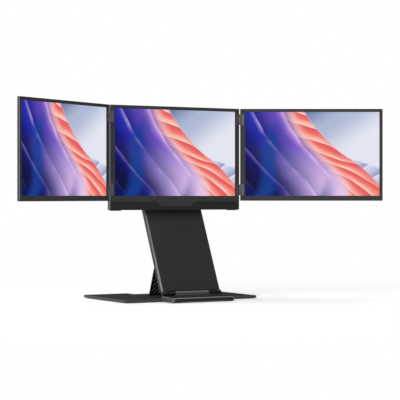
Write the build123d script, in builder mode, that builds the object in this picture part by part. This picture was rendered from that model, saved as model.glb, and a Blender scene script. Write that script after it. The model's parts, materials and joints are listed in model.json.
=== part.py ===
from build123d import *
import os
from math import atan2, cos, hypot, radians, sin, sqrt

# Folding triple screen on a stand. Millimetres, +Z up, the screens face -Y.
# Origin: centre of the base plate's underside, on the surface that it stands on.

os.makedirs("parts", exist_ok=True)

# ---------------------------------------------------------------- driving sizes
# base plate and front foot
base_width = 324.6
base_depth = 205.2
base_thickness = 5.5
base_corner = 3.0
base_bevel = 1.2
pad_thickness = 1.0
mat_inset = 5.0
track_depth = 2.5
foot_width = 152.4
foot_reach = 49.0  # in front of the plate
foot_ledge = 4.4  # over the plate's front edge
foot_front_height = 10.2
foot_rear_height = 11.6
foot_wall = 2.0
foot_corner = 3.0
foot_cover_thickness = 1.5
foot_pad_length = 22.0
foot_pad_width = 8.0

# lower hinge
hinge_setback = 4.9  # pin behind the plate's front edge
knuckle_radius = 4.5
lower_pin_radius = 2.5
lower_lug_width = 10.8
lower_lug_inset = 0.6
lower_block_margin = 31.5  # column's edge to the block's end
friction_pack_gap = 3.8
friction_pack_radius = 3.7

# column
column_width = 145.0
lower_block_width = column_width - 2 * lower_block_margin
column_thickness = 10.8
column_length = 219.0
column_start = 5.5  # pin to the column's lower edge
column_lean = 25.1  # back from upright
column_chamfer = 3.0
column_wall = 2.0
column_side_wall = 2.5
front_proud = 1.0  # column's front face in front of the pins
back_cover_thickness = 1.5

# upper hinge
tilt_pin_rise = 7.5  # pin past the column's upper edge
tilt_pin_radius = 2.0
tilt_block_width = column_width - 47.0
tilt_lug_width = 12.0
tongue_thickness = 2.3
tongue_length = 24.0

# brace
brace_width = column_width - 39.0
brace_thickness = 3.2
brace_hinge_at = 112.0  # along the column from the lower pin
brace_foot_y = -2.0
brace_knuckle = 2.3
brace_pin_radius = 1.2
brace_foot_radius = 2.3
brace_rib_width = 2.2
brace_rib_height = 0.5
brace_rib_pitch = 11.0
well_skin = 1.0
well_depth = 5.4

# screens
display_width = 301.6
display_height = 188.5
display_above_chin = 30.8  # display's lower edge above the chin's lower edge
display_overlap = 2.0  # panel under the bezel
side_border = 10.8
upper_border = 7.15
screen_width = display_width + 2 * side_border
screen_top = display_above_chin + display_height + upper_border
chin_height = 18.0
chin_thickness = 14.0
chin_bulk_height = 41.0  # thick part at the back
chin_step = 0.5
panel_thickness = 7.5
bezel_thickness = 1.2
shell_wall = 1.6
shell_floor = 1.4
screen_corner = 2.0
glass_thickness = 0.8
backlight_thickness = 2.4
tab_top_width = 96.0
tab_bottom_width = 71.0
tab_drop = 10.0
tilt_pin_above_chin = 31.9

wing_hinge_border = 10.9
wing_outer_border = 7.35
wing_lower_border = 11.2
wing_upper_border = 6.9
wing_length = wing_hinge_border + display_width + wing_outer_border
wing_height = wing_lower_border + display_height + wing_upper_border
wing_thickness = 6.0
wing_floor = 1.2
wing_backlight_thickness = 2.0
wing_fold = 30.0  # forward at rest
fold_gap = 0.6  # between folded screens
seam_gap = 2.9  # centre to the first wing, opened flat
outer_seam_gap = 1.05  # centre to the second wing
wing_board_share = 0.53  # of the wing's height
wing_chip = (4.2, 8.0)

# seam hinges
seam_knuckle = 2.0
seam_pin_radius = 1.0
leaf_thickness = 1.6
leaf_height = 24.5
leaf_from_edge = 12.2
leaf_width = 7.3

# ports and buttons, along the column from the lower pin
usb_c_places = (128.0, 89.5, 74.0, 43.0)
hdmi_places = (112.0, 57.5)
power_inlet_place = 32.0
button_places = {"power_button": 92.0, "brightness_up_button": 83.5, "brightness_down_button": 75.5}
usb_c_size = (9.0, 3.2, 7.0)
hdmi_size = (15.0, 4.4, 9.0)
port_wall = 0.4
button_size = (5.6, 2.8)
button_flange = 0.8
button_proud = 0.6
button_travel = 0.5
board_thickness = 1.2

# clearances
running = 0.05  # pin to bore
sliding = 0.2  # button to its hole
fit = 0.1  # parts let into a recess
apart = 0.3  # moving pieces
fold_clearance = 0.5  # column over the base plate, folded
stop_gap = 0.35  # chin to the column at rest
recess = 0.05

# ---------------------------------------------------------------- derived places
LEFT, RIGHT = -1, 1
SIDES = {LEFT: "left", RIGHT: "right"}

plate_top = pad_thickness + base_thickness
front_edge = -base_depth / 2
back_edge = base_depth / 2
column_back = front_proud - column_thickness
pivot_y = front_edge + hinge_setback
pivot_z = plate_top + fold_clearance - column_back
lean = radians(column_lean)
column_end = column_start + column_length
tilt_at = column_end + tilt_pin_rise


def on_column(along, proud=0.0):
    """Y and Z of a point given along the column and in front of its pins."""
    y = pivot_y + along * sin(lean) - proud * cos(lean)
    z = pivot_z + along * cos(lean) + proud * sin(lean)
    return y, z


def column_face(proud):
    """Plane along the column, facing forward: x is X, y runs up the column."""
    y, z = on_column(0, proud)
    return Plane(origin=(0, y, z), x_dir=(1, 0, 0), z_dir=(0, -cos(lean), sin(lean)))


def column_side(x):
    """Plane across the column: x runs up the column, y points forward."""
    return Plane(origin=(x, pivot_y, pivot_z), x_dir=(0, sin(lean), cos(lean)), z_dir=(1, 0, 0))


tilt_y, tilt_z = on_column(tilt_at)
chin_bottom = tilt_z - tilt_pin_above_chin
stop_along = (chin_bottom - pivot_z - front_proud * sin(lean)) / cos(lean)
chin_back_y = on_column(stop_along, front_proud)[0] - stop_gap
screen_y = chin_back_y - chin_thickness
screen_top_z = chin_bottom + screen_top
chin_top = chin_bottom + chin_height
chin_bulk_top = chin_bottom + chin_bulk_height
display_bottom = chin_bottom + display_above_chin
display_middle = display_bottom + display_height / 2
wing_bottom = screen_top_z - wing_height
wing_middle = screen_top_z - wing_height / 2

# brace: from its hinge in the column's back to its foot on the base plate
brace_proud = column_back + well_depth - apart - brace_knuckle
brace_hinge = on_column(brace_hinge_at, brace_proud)
brace_foot = (brace_foot_y, plate_top + apart + brace_foot_radius)
brace_length = hypot(brace_foot[0] - brace_hinge[0], brace_foot[1] - brace_hinge[1])
brace_angle = atan2(brace_foot[1] - brace_hinge[1], brace_foot[0] - brace_hinge[0])
well_half = brace_width / 2 + 1.0
friction_pack_length = lower_block_margin - lower_lug_inset - lower_lug_width - apart - friction_pack_gap
well_start = brace_hinge_at - 6.5
well_floor = column_back + well_depth
track_half = well_half + 1.0
track_start = brace_foot_y + 2.5

# seam hinge pins, seen from above
pin_x = {LEFT: screen_width / 2 + seam_gap / 2, RIGHT: screen_width / 2}
pin_proud = {LEFT: fold_gap / 2, RIGHT: (wing_thickness + 2 * fold_gap) / 2}
centre_edge = {LEFT: seam_gap / 2, RIGHT: 0.0}
wing_edge = {LEFT: seam_gap / 2, RIGHT: outer_seam_gap}
leaf_middles = (
    screen_top_z - leaf_from_edge - leaf_height / 2,
    wing_bottom + leaf_from_edge + leaf_height / 2,
)
knuckle_height = leaf_height / 3


def screen_face(depth):
    """Plane parallel to the centre screen, facing forward, depth behind its front."""
    return Plane(origin=(0, screen_y + depth, 0), x_dir=(1, 0, 0), z_dir=(0, -1, 0))


def wing_face(side, depth):
    """Plane of a wing's front, depth behind it: x from the hinge pin, y is height."""
    fold = radians(wing_fold)
    normal = Vector(-side * sin(fold), -cos(fold), 0)
    pin = Vector(side * pin_x[side], screen_y - pin_proud[side], 0)
    origin = pin - normal * (pin_proud[side] + depth)
    return Plane(origin=origin, x_dir=(cos(fold), -side * sin(fold), 0), z_dir=normal)


def centre_leaf_plane(side, height):
    """Plane across a seam hinge: x from the pin into the centre, y backwards."""
    origin = (side * pin_x[side], screen_y - pin_proud[side], height)
    return Plane(origin=origin, x_dir=(-side, 0, 0), z_dir=(0, 0, -side))


def wing_leaf_plane(side, height):
    """Plane across a seam hinge: x from the pin into the wing, y backwards."""
    fold = radians(wing_fold)
    origin = (side * pin_x[side], screen_y - pin_proud[side], height)
    return Plane(origin=origin, x_dir=(side * cos(fold), -sin(fold), 0), z_dir=(0, 0, side))


def brace_face(out):
    """Plane along the brace, facing back: x is X, y runs from hinge to foot."""
    dy, dz = cos(brace_angle), sin(brace_angle)
    origin = (0, brace_hinge[0] - dz * out, brace_hinge[1] + dy * out)
    return Plane(origin=origin, x_dir=(1, 0, 0), z_dir=(0, -dz, dy))


def brace_side(x):
    """Plane across the brace: x runs from hinge to foot, y points back."""
    dy, dz = cos(brace_angle), sin(brace_angle)
    return Plane(origin=(x, *brace_hinge), x_dir=(0, dy, dz), z_dir=(1, 0, 0))


# ---------------------------------------------------------------- shared helpers
def block(plane, x_range, y_range, depth, mode=Mode.ADD):
    """Block on a plane between two corners, depth along the plane's normal."""
    with BuildSketch(plane) as outline:
        with Locations((sum(x_range) / 2, sum(y_range) / 2)):
            Rectangle(x_range[1] - x_range[0], y_range[1] - y_range[0])
    extrude(outline.sketch, amount=depth, mode=mode)


def rounded_block(plane, x_range, y_range, depth, radius, mode=Mode.ADD):
    """The same block with its four corners rounded in the plane."""
    with BuildSketch(plane) as outline:
        with Locations((sum(x_range) / 2, sum(y_range) / 2)):
            RectangleRounded(x_range[1] - x_range[0], y_range[1] - y_range[0], radius)
    extrude(outline.sketch, amount=depth, mode=mode)


def rods(plane, places, radius, depth, mode=Mode.ADD):
    """Round rods standing on a plane."""
    with BuildSketch(plane) as outline:
        with Locations(*places):
            Circle(radius)
    extrude(outline.sketch, amount=depth, mode=mode)


def profile(plane, points, depth, mode=Mode.ADD):
    """Straight-sided outline on a plane, extruded by depth."""
    with BuildSketch(plane) as outline:
        with BuildLine():
            Polyline(*points, close=True)
        make_face()
    extrude(outline.sketch, amount=depth, mode=mode)


def mirrored(low, high):
    """A range and its mirror image about zero."""
    return (low, high), (-high, -low)


def save(piece, name):
    piece.part.label = name
    export_step(piece.part, f"parts/{name}.step")


def save_all(pieces):
    for name, piece in pieces.items():
        save(piece, name)


# ---------------------------------------------------------------- base and foot
foot_front = front_edge - foot_reach
foot_back = front_edge + foot_ledge
foot_half = foot_width / 2
foot_screw_places = tuple((n * foot_width * 0.114, front_edge + 2.6) for n in (-3, -1, 1, 3))
foot_screw_radius = 1.1
foot_screw_head = 1.8
foot_screw_head_height = 1.4
foot_stud_places = tuple((side * foot_width * 0.42, front_edge - 2.6) for side in SIDES)
foot_stud_radius = 1.6
foot_stud_bottom = foot_rear_height - 1.6
foot_stud_top = foot_rear_height + 0.1


def make_base():
    half = base_width / 2
    with BuildPart() as base_plate:
        with BuildSketch(Plane.XY.offset(pad_thickness)):
            RectangleRounded(base_width, base_depth, base_corner)
        extrude(amount=base_thickness)
        top_rim = base_plate.faces().sort_by(Axis.Z)[-1].edges()
        chamfer(top_rim, base_bevel)
        track = Plane.XY.offset(plate_top - track_depth)
        block(track, (-track_half, track_half), (track_start, back_edge + 1), track_depth + 1, Mode.SUBTRACT)
        # the foot's ledge lies on the plate's front edge between square shoulders
        rods(Plane.XY, foot_screw_places, foot_screw_radius + fit, plate_top + 1, Mode.SUBTRACT)
        head_top = pad_thickness + foot_screw_head_height + fit
        rods(Plane.XY, foot_screw_places, foot_screw_head + fit, head_top, Mode.SUBTRACT)

    with BuildPart() as base_mat:
        with BuildSketch(Plane.XY):
            RectangleRounded(2 * (half - mat_inset), base_depth - 2 * mat_inset, base_corner)
        extrude(amount=pad_thickness)
    save_all({"base_plate": base_plate, "base_mat": base_mat})


def make_foot():
    side = Plane.YZ.offset(-foot_half)
    outline = (
        (foot_front, pad_thickness),
        (foot_front, foot_front_height),
        (front_edge, foot_rear_height),
        (foot_back, foot_rear_height),
        (foot_back, plate_top),
        (front_edge - recess, plate_top),
        (front_edge - recess, pad_thickness),
    )
    inner = foot_half - foot_wall
    inner_y = (foot_front + foot_wall, front_edge - recess - foot_wall)
    roof = foot_front_height - foot_wall
    with BuildPart() as foot_housing:
        profile(side, outline, foot_width)
        upright = foot_housing.edges().filter_by(Axis.Z).group_by(Axis.Y)[0]
        chamfer(upright, foot_corner)
        top_front = foot_housing.edges().filter_by(Axis.X).group_by(Axis.Y)[0].sort_by(Axis.Z)[-1]
        chamfer(top_front, foot_wall / 2)
        block(Plane.XY, (-inner, inner), inner_y, roof, Mode.SUBTRACT)
        screw_room = foot_rear_height - foot_wall
        rods(Plane.XY, foot_screw_places, foot_screw_radius + fit, screw_room, Mode.SUBTRACT)
        stud_seat = Plane.XY.offset(foot_stud_bottom)
        rods(stud_seat, foot_stud_places, foot_stud_radius + recess, foot_screw_head, Mode.SUBTRACT)

    cover_x = inner - fit
    cover_y = (inner_y[0] + fit, inner_y[1] - fit)
    with BuildPart() as foot_bottom_cover:
        block(Plane.XY.offset(pad_thickness), (-cover_x, cover_x), cover_y, foot_cover_thickness)

    weight_bottom = pad_thickness + foot_cover_thickness
    with BuildPart() as foot_weight:
        weight_height = roof - weight_bottom - fit
        block(Plane.XY.offset(weight_bottom), (-cover_x, cover_x), cover_y, weight_height)
        chamfer(foot_weight.edges().filter_by(Axis.Z), foot_corner)

    pad_x = foot_half - foot_corner - foot_pad_length / 2
    pad_y = (foot_front + foot_corner + foot_pad_width / 2, front_edge - foot_wall - foot_pad_width)
    with BuildPart() as foot_pads:
        with BuildSketch(Plane.XY):
            with Locations(*((x, y) for x in (-pad_x, pad_x) for y in pad_y)):
                RectangleRounded(foot_pad_length, foot_pad_width, foot_pad_width / 3)
        extrude(amount=pad_thickness)

    with BuildPart() as foot_screws:
        shank_top = foot_rear_height - foot_wall - fit
        low = Plane.XY.offset(pad_thickness)
        rods(low, foot_screw_places, foot_screw_radius, shank_top - pad_thickness)
        rods(low, foot_screw_places, foot_screw_head, foot_screw_head_height)
        rods(stud_seat, foot_stud_places, foot_stud_radius, foot_stud_top - foot_stud_bottom)
    save_all({
        "foot_housing": foot_housing,
        "foot_bottom_cover": foot_bottom_cover,
        "foot_weight": foot_weight,
        "foot_pads": foot_pads,
        "foot_screws": foot_screws,
    })


def make_lower_hinge():
    half = lower_block_width / 2
    side = Plane.YZ.offset(-half)
    pin = (pivot_y, pivot_z)
    with BuildPart() as lower_hinge_block:
        rods(side, (pin,), knuckle_radius, lower_block_width)
        stem = (
            (pivot_y - knuckle_radius, pivot_z),
            (pivot_y - knuckle_radius, foot_rear_height),
            (foot_back, foot_rear_height),
            (foot_back, pivot_z),
        )
        profile(side, stem, lower_block_width)
        rods(side, (pin,), lower_pin_radius + running, lower_block_width, Mode.SUBTRACT)

    end = column_width / 2 - lower_lug_inset
    with BuildPart() as lower_hinge_pin:
        rods(Plane.YZ.offset(-end), (pin,), lower_pin_radius, 2 * end)

    pack_start = half + apart
    with BuildPart() as friction_packs:
        for x in (pack_start, -pack_start - friction_pack_length):
            at = Plane.YZ.offset(x)
            rods(at, (pin,), friction_pack_radius, friction_pack_length)
            groove = friction_pack_length / 7
            for n in (1, 3, 5):
                ring = Plane.YZ.offset(x + n * groove)
                with BuildSketch(ring) as slot:
                    with Locations(pin):
                        Circle(friction_pack_radius + 1)
                        Circle(friction_pack_radius - apart, mode=Mode.SUBTRACT)
                extrude(slot.sketch, amount=groove, mode=Mode.SUBTRACT)
            rods(at, (pin,), lower_pin_radius + running, friction_pack_length, Mode.SUBTRACT)

    lug_in = end - lower_lug_width
    tongue_out = column_width / 2 - column_side_wall - column_chamfer / 2 - fit
    tongue_at = front_proud - column_wall - tongue_thickness
    with BuildPart() as lower_hinge_lugs:
        for low, high in mirrored(lug_in, end):
            across = column_side(low)
            rods(across, ((0, 0),), knuckle_radius, high - low)
            neck = (
                (0, -knuckle_radius),
                (column_start - fit, column_back + apart),
                (column_start - fit, front_proud - apart),
                (0, knuckle_radius),
            )
            profile(across, neck, high - low)
            rods(across, ((0, 0),), lower_pin_radius + running, high - low, Mode.SUBTRACT)
        for x_range in mirrored(lug_in, tongue_out):
            block(column_face(tongue_at), x_range, (column_start - 1, tongue_length), tongue_thickness)
    save_all({
        "lower_hinge_block": lower_hinge_block,
        "lower_hinge_pin": lower_hinge_pin,
        "friction_packs": friction_packs,
        "lower_hinge_lugs": lower_hinge_lugs,
    })


# ---------------------------------------------------------------- column
column_half = column_width / 2
inner_half = column_half - column_side_wall
inner_front = front_proud - column_wall
cover_inner = column_back + back_cover_thickness
port_proud = cover_inner + board_thickness
usb_c_middle = port_proud + usb_c_size[1] / 2
hdmi_middle = port_proud + hdmi_size[1] / 2
button_proud_middle = (cover_inner + inner_front) / 2
tilt_lug_in = tilt_block_width / 2 + apart
tilt_lug_out = tilt_lug_in + tilt_lug_width
chip_height = 1.0
hub_chips = ((0.035, 60.0, 14.0), (0.21, 80.0, 10.0), (0.224, 55.0, 8.0), (-0.056, 42.0, 9.0))
button_board_reach = 3.6
cover_screw_x = column_half - 13.3
cover_screw_places = tuple((x, s) for x in (-cover_screw_x, cover_screw_x) for s in (30.0, 99.0, 192.0))
cover_boss_radius = 2.6
cover_screw_radius = 1.0
cover_screw_head = 1.9
cover_screw_head_height = 1.0
ear_width = 4.0
ear_half_length = 4.0


def port_hole(places, size, middle):
    """Openings for ports through the column's right wall."""
    width, height = size[0] + 2 * fit, size[1] + 2 * fit
    for place in places:
        wall = column_side(inner_half - 1)
        with BuildSketch(wall) as outline:
            with Locations((place, middle)):
                RectangleRounded(width, height, height / 3)
        extrude(outline.sketch, amount=column_side_wall + 2, mode=Mode.SUBTRACT)


def make_column_shells():
    with BuildPart() as column_front_shell:
        front = column_face(column_back)
        block(front, (-column_half, column_half), (column_start, column_end), column_thickness)
        along = Axis((0, 0, 0), (0, sin(lean), cos(lean)))
        corners = column_front_shell.edges().filter_by(along)
        front_axis = Axis((0, 0, 0), (0, -cos(lean), sin(lean)))
        chamfer(corners.group_by(front_axis)[-1], column_chamfer)
        inner_top = column_end - column_wall
        cavity = inner_front - column_back
        cut_x = (-inner_half, inner_half)
        block(front, cut_x, (column_start + column_wall, inner_top), cavity, Mode.SUBTRACT)
        # chamfered corners keep their wall along both long sides
        for x in (-inner_half, inner_half):
            inward = -1 if x > 0 else 1
            rib = (
                (x, inner_front - column_chamfer / 2),
                (x + inward * column_chamfer / 2, inner_front),
                (x, inner_front),
            )
            start = column_start + column_wall
            y, z = on_column(start)
            across = Plane(
                origin=(0, y, z), x_dir=(1, 0, 0), z_dir=(0, -sin(lean), -cos(lean))
            )
            profile(across, rib, start - inner_top)
        for place in cover_screw_places:
            rods(column_face(cover_inner), (place,), cover_boss_radius, inner_front - cover_inner)
            thread = inner_front - cover_inner - 1.0
            rods(column_face(cover_inner), (place,), cover_screw_radius + recess, thread, Mode.SUBTRACT)
        # notches for the hinge tongues and for the folded brace
        lug_in = column_half - lower_lug_inset - lower_lug_width - fit
        notch = inner_front - column_back
        for x_range in mirrored(lug_in, inner_half):
            block(front, x_range, (column_start - 1, column_start + column_wall + 1), notch, Mode.SUBTRACT)
        for x_range in mirrored(tilt_lug_in - fit, tilt_lug_out + fit):
            block(front, x_range, (inner_top - 1, column_end + 1), notch, Mode.SUBTRACT)
        pan_half = well_half + well_skin + fit
        pan_depth = well_depth + well_skin + fit
        block(front, (-pan_half, pan_half), (inner_top - 1, column_end + 1), pan_depth, Mode.SUBTRACT)
        # side openings
        port_hole(usb_c_places, usb_c_size, usb_c_middle)
        port_hole(hdmi_places, hdmi_size, hdmi_middle)
        left_wall = column_side(-column_half - 1)
        with BuildSketch(left_wall) as holes:
            with Locations(*((s, button_proud_middle) for s in button_places.values())):
                RectangleRounded(button_size[0] + 2 * sliding, button_size[1] + 2 * sliding, button_size[1] / 2)
            with Locations((power_inlet_place, usb_c_middle)):
                RectangleRounded(usb_c_size[0] + 2 * fit, usb_c_size[1] + 2 * fit, usb_c_size[1] / 3)
        extrude(holes.sketch, amount=column_side_wall + 2, mode=Mode.SUBTRACT)

    with BuildPart() as column_back_cover:
        back = column_face(column_back)
        edge = inner_half - fit
        low, high = column_start + column_wall + fit, inner_top - fit
        block(back, (-edge, edge), (low, high), back_cover_thickness)
        pan_edge = well_half + well_skin
        pan_x = (-pan_edge, pan_edge)
        block(back, pan_x, (well_start - well_skin, column_end), well_depth + well_skin)
        block(back, (-well_half, well_half), (well_start, column_end + 1), well_depth, Mode.SUBTRACT)
        for x_range in mirrored(pan_edge - recess, pan_edge + ear_width):
            ear_y = (brace_hinge_at - ear_half_length, brace_hinge_at + ear_half_length)
            block(back, x_range, ear_y, well_depth + well_skin)
        pin_half = pan_edge + ear_width - 1
        pin_place = ((brace_hinge_at, brace_proud),)
        bore = brace_pin_radius + running
        rods(column_side(-pin_half), pin_place, bore, 2 * pin_half, Mode.SUBTRACT)
        for place in cover_screw_places:
            rods(back, (place,), cover_screw_radius + fit, back_cover_thickness, Mode.SUBTRACT)
            rods(back, (place,), cover_screw_head + fit, cover_screw_head_height, Mode.SUBTRACT)

    with BuildPart() as column_screws:
        shank = inner_front - column_back - 2.0
        rods(column_face(column_back), cover_screw_places, cover_screw_radius, shank)
        rods(column_face(column_back), cover_screw_places, cover_screw_head, cover_screw_head_height)
        for x, s in cover_screw_places:
            drive = column_face(column_back)
            slot_half = cover_screw_head * 0.6
            block(drive, (x - slot_half, x + slot_half), (s - 0.2, s + 0.2), 0.5, Mode.SUBTRACT)
            block(drive, (x - 0.2, x + 0.2), (s - slot_half, s + slot_half), 0.5, Mode.SUBTRACT)

    with BuildPart() as brace_hinge_pin:
        pin_end = pin_half - fit
        rods(column_side(-pin_end), pin_place, brace_pin_radius, 2 * pin_end)
    save_all({
        "column_front_shell": column_front_shell,
        "column_back_cover": column_back_cover,
        "column_screws": column_screws,
        "brace_hinge_pin": brace_hinge_pin,
    })


def port_shell(plane, place, middle, size):
    """Metal port shell, open outwards, with its tongue; plane is the mouth."""
    width, height, depth = size
    with BuildSketch(plane) as outline:
        with Locations((place, middle)):
            RectangleRounded(width, height, height / 3)
    extrude(outline.sketch, amount=-depth)
    with BuildSketch(plane) as hollow:
        with Locations((place, middle)):
            RectangleRounded(width - 2 * port_wall, height - 2 * port_wall, height / 4)
    extrude(hollow.sketch, amount=-(depth - port_wall), mode=Mode.SUBTRACT)
    with BuildSketch(plane.offset(-depth)) as tongue:
        with Locations((place, middle)):
            Rectangle(width * 0.7, height * 0.22)
    extrude(tongue.sketch, amount=depth * 0.8)


def make_electronics():
    mouth = column_half - sliding
    with BuildPart() as usb_c_ports:
        for place in usb_c_places:
            port_shell(column_side(mouth), place, usb_c_middle, usb_c_size)
        left = Plane(
            origin=(-mouth, pivot_y, pivot_z), x_dir=(0, sin(lean), cos(lean)), z_dir=(-1, 0, 0)
        )
        port_shell(left, power_inlet_place, -usb_c_middle, usb_c_size)

    with BuildPart() as hdmi_ports:
        for place in hdmi_places:
            port_shell(column_side(mouth), place, hdmi_middle, hdmi_size)

    board = column_face(cover_inner)
    board_edge = inner_half - 2 * fit
    strip_in = well_half + well_skin + ear_width + apart
    board_middle = -0.14 * column_width
    board_high = well_start - 8.0
    inlet_low, inlet_high = power_inlet_place - 6.0, power_inlet_place + 8.0
    with BuildPart() as hub_board:
        block(board, (board_middle, board_edge), (inlet_low, board_high), board_thickness)
        block(board, (strip_in, board_edge), (board_high - 1, usb_c_places[0] + 6.0), board_thickness)
        block(board, (-board_edge, board_middle + 1), (inlet_low, inlet_high), board_thickness)
        for place in cover_screw_places:
            rods(board, (place,), cover_boss_radius + apart, board_thickness, Mode.SUBTRACT)
        for x, along, size in hub_chips:
            spot = board.offset(board_thickness)
            x_range = (x * column_width - size / 2, x * column_width + size / 2)
            block(spot, x_range, (along - size / 2, along + size / 2), chip_height)

    flange_back = column_half - column_side_wall - recess - button_flange
    switch_front = flange_back - button_travel - apart
    with BuildPart() as control_board:
        board_at = -switch_front + 1.2
        wall = Plane(
            origin=(board_at, pivot_y, pivot_z), x_dir=(0, sin(lean), cos(lean)), z_dir=(1, 0, 0)
        )
        low = min(button_places.values()) - button_board_reach
        high = max(button_places.values()) + button_board_reach
        block(wall, (low, high), (cover_inner + apart, inner_front), board_thickness)
        for s in button_places.values():
            block(wall, (s - 1.8, s + 1.8), (button_proud_middle - 1.4, button_proud_middle + 1.4), -1.2)
    save_all({
        "usb_c_ports": usb_c_ports,
        "hdmi_ports": hdmi_ports,
        "hub_board": hub_board,
        "control_board": control_board,
    })


def make_buttons():
    flange_face = column_half - column_side_wall - recess
    cap_length = column_side_wall + recess + button_proud
    for name, place in button_places.items():
        with BuildPart() as button:
            root = Plane(
                origin=(-flange_face, pivot_y, pivot_z),
                x_dir=(0, sin(lean), cos(lean)),
                z_dir=(-1, 0, 0),
            )
            with BuildSketch(root) as cap:
                with Locations((place, -button_proud_middle)):
                    RectangleRounded(button_size[0], button_size[1], button_size[1] * 0.45)
            extrude(cap.sketch, amount=cap_length)
            top = button.faces().sort_by(Axis.X)[0]
            fillet(top.edges(), button_proud / 2)
            with BuildSketch(root) as rim:
                with Locations((place, -button_proud_middle)):
                    RectangleRounded(button_size[0] + 1.6, button_size[1] + 1.4, button_size[1] * 0.45)
            extrude(rim.sketch, amount=-button_flange)
        save(button, name)


def make_tilt_lugs():
    tongue_at = inner_front - tongue_thickness
    with BuildPart() as upper_hinge_lugs:
        for low, high in mirrored(tilt_lug_in, tilt_lug_out):
            across = column_side(low)
            rods(across, ((tilt_at, 0),), knuckle_radius, high - low)
            neck = (
                (column_end + fit, tongue_at),
                (tilt_at, -knuckle_radius),
                (tilt_at, knuckle_radius),
                (column_end + fit, front_proud - apart),
            )
            profile(across, neck, high - low)
            start = column_end - tongue_length
            block(column_face(tongue_at), (low, high), (start, column_end + 1), tongue_thickness)
            rods(across, ((tilt_at, 0),), tilt_pin_radius + running, high - low, Mode.SUBTRACT)

    with BuildPart() as tilt_hinge_pin:
        rods(column_side(-tilt_lug_out), ((tilt_at, 0),), tilt_pin_radius, 2 * tilt_lug_out)
    save_all({"upper_hinge_lugs": upper_hinge_lugs, "tilt_hinge_pin": tilt_hinge_pin})


# ---------------------------------------------------------------- brace
brace_screw_radius = 1.1
brace_screw_head = 1.8
brace_screw_proud = 0.4
brace_screw_places = tuple((side * brace_width * 0.327, brace_length * 0.803) for side in SIDES)


def make_brace():
    half = brace_width / 2
    bore = brace_pin_radius + running
    plate_end = brace_length
    with BuildPart() as brace_plate:
        rods(brace_side(-half), ((0, 0),), brace_knuckle, brace_width)
        sheet = brace_face(-brace_thickness / 2)
        block(sheet, (-half, half), (0, plate_end - 1.0), brace_thickness)
        # window of thinner sheet with slanting ribs on the front side
        frame = 7.0
        window_x = (-half + frame, half - frame)
        window_y = (frame + brace_knuckle, plate_end - frame)
        block(sheet, window_x, window_y, brace_rib_height * 2, Mode.SUBTRACT)
        with BuildSketch(sheet) as ribs:
            count = int((brace_width + plate_end) / brace_rib_pitch)
            for n in range(count):
                with Locations((-half + (n + 0.5) * brace_rib_pitch - plate_end / 2, plate_end / 2)):
                    Rectangle(brace_rib_width, plate_end * 2, rotation=-45)
            with Locations((sum(window_x) / 2, sum(window_y) / 2)):
                Rectangle(window_x[1] - window_x[0], window_y[1] - window_y[0], mode=Mode.INTERSECT)
        extrude(ribs.sketch, amount=brace_rib_height * 2)
        rods(sheet, brace_screw_places, brace_screw_head + 1.0, brace_thickness)
        rods(sheet, brace_screw_places, brace_screw_radius + recess, brace_thickness - 1.0, Mode.SUBTRACT)
        rods(brace_side(-half), ((0, 0),), bore, brace_width, Mode.SUBTRACT)

    with BuildPart() as brace_foot_pad:
        rods(brace_side(-half), ((plate_end, 0),), brace_foot_radius, brace_width)
        lip = plate_end - brace_foot_radius
        grip = brace_face(-brace_thickness / 2 - fit)
        block(grip, (-half - 1, half + 1), (lip - 5, plate_end - 1.0), brace_thickness + 2 * fit, Mode.SUBTRACT)

    with BuildPart() as brace_screws:
        rods(sheet, brace_screw_places, brace_screw_radius, brace_thickness - 1.0 - fit)
        rods(sheet, brace_screw_places, brace_screw_head, -brace_screw_proud)
    save_all({
        "brace_plate": brace_plate,
        "brace_foot_pad": brace_foot_pad,
        "brace_screws": brace_screws,
    })


# ---------------------------------------------------------------- seam hinges
def clear_reach(side, radius):
    """Where a circle about the pin leaves the screens' front plane."""
    return sqrt(max(0.0, radius**2 - pin_proud[side] ** 2))


def leaf_start(side, edge):
    return max(edge, clear_reach(side, seam_knuckle + apart))


def seam_leaf(side, plane_at, edge, width, centre_band):
    """One leaf: knuckles on the pin, a neck beside each, and a flush plate."""
    depth = pin_proud[side]
    plate_x = (leaf_start(side, edge), edge + width)
    plate_y = (depth, depth + leaf_thickness)
    neck_x = (apart, max(seam_knuckle, plate_x[0] + 1))
    for middle in leaf_middles:
        half = leaf_height / 2
        with BuildSketch(plane_at(side, middle)) as plate:
            with Locations((sum(plate_x) / 2, sum(plate_y) / 2)):
                Rectangle(plate_x[1] - plate_x[0], leaf_thickness)
        extrude(plate.sketch, amount=half, both=True)
        bands = (0,) if centre_band else (-1, 1)
        for band in bands:
            at = plane_at(side, middle + band * knuckle_height)
            band_half = knuckle_height / 2 - apart / 2
            with BuildSketch(at) as knuckle:
                Circle(seam_knuckle)
                with Locations((sum(neck_x) / 2, plate_y[1] / 2)):
                    Rectangle(neck_x[1] - neck_x[0], plate_y[1])
                Circle(seam_pin_radius + running, mode=Mode.SUBTRACT)
            extrude(knuckle.sketch, amount=band_half, both=True)


def leaf_pocket(side, plane_at, edge, width):
    """Room for a leaf and its knuckles in a screen's front."""
    depth = pin_proud[side]
    half = leaf_height / 2 + fit
    for middle in leaf_middles:
        with BuildSketch(plane_at(side, middle)) as room:
            x_range = (edge - 1, edge + width + fit)
            y_range = (depth - 1, depth + leaf_thickness + recess)
            with Locations((sum(x_range) / 2, sum(y_range) / 2)):
                Rectangle(x_range[1] - x_range[0], y_range[1] - y_range[0])
            Circle(seam_knuckle + apart)
        extrude(room.sketch, amount=half, both=True, mode=Mode.SUBTRACT)


def make_seam_pin(side):
    with BuildPart() as seam_pins:
        for middle in leaf_middles:
            rods(
                centre_leaf_plane(side, middle + side * leaf_height / 2),
                ((0, 0),),
                seam_pin_radius,
                leaf_height,
            )
    save(seam_pins, f"{SIDES[side]}_seam_pins")


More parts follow.
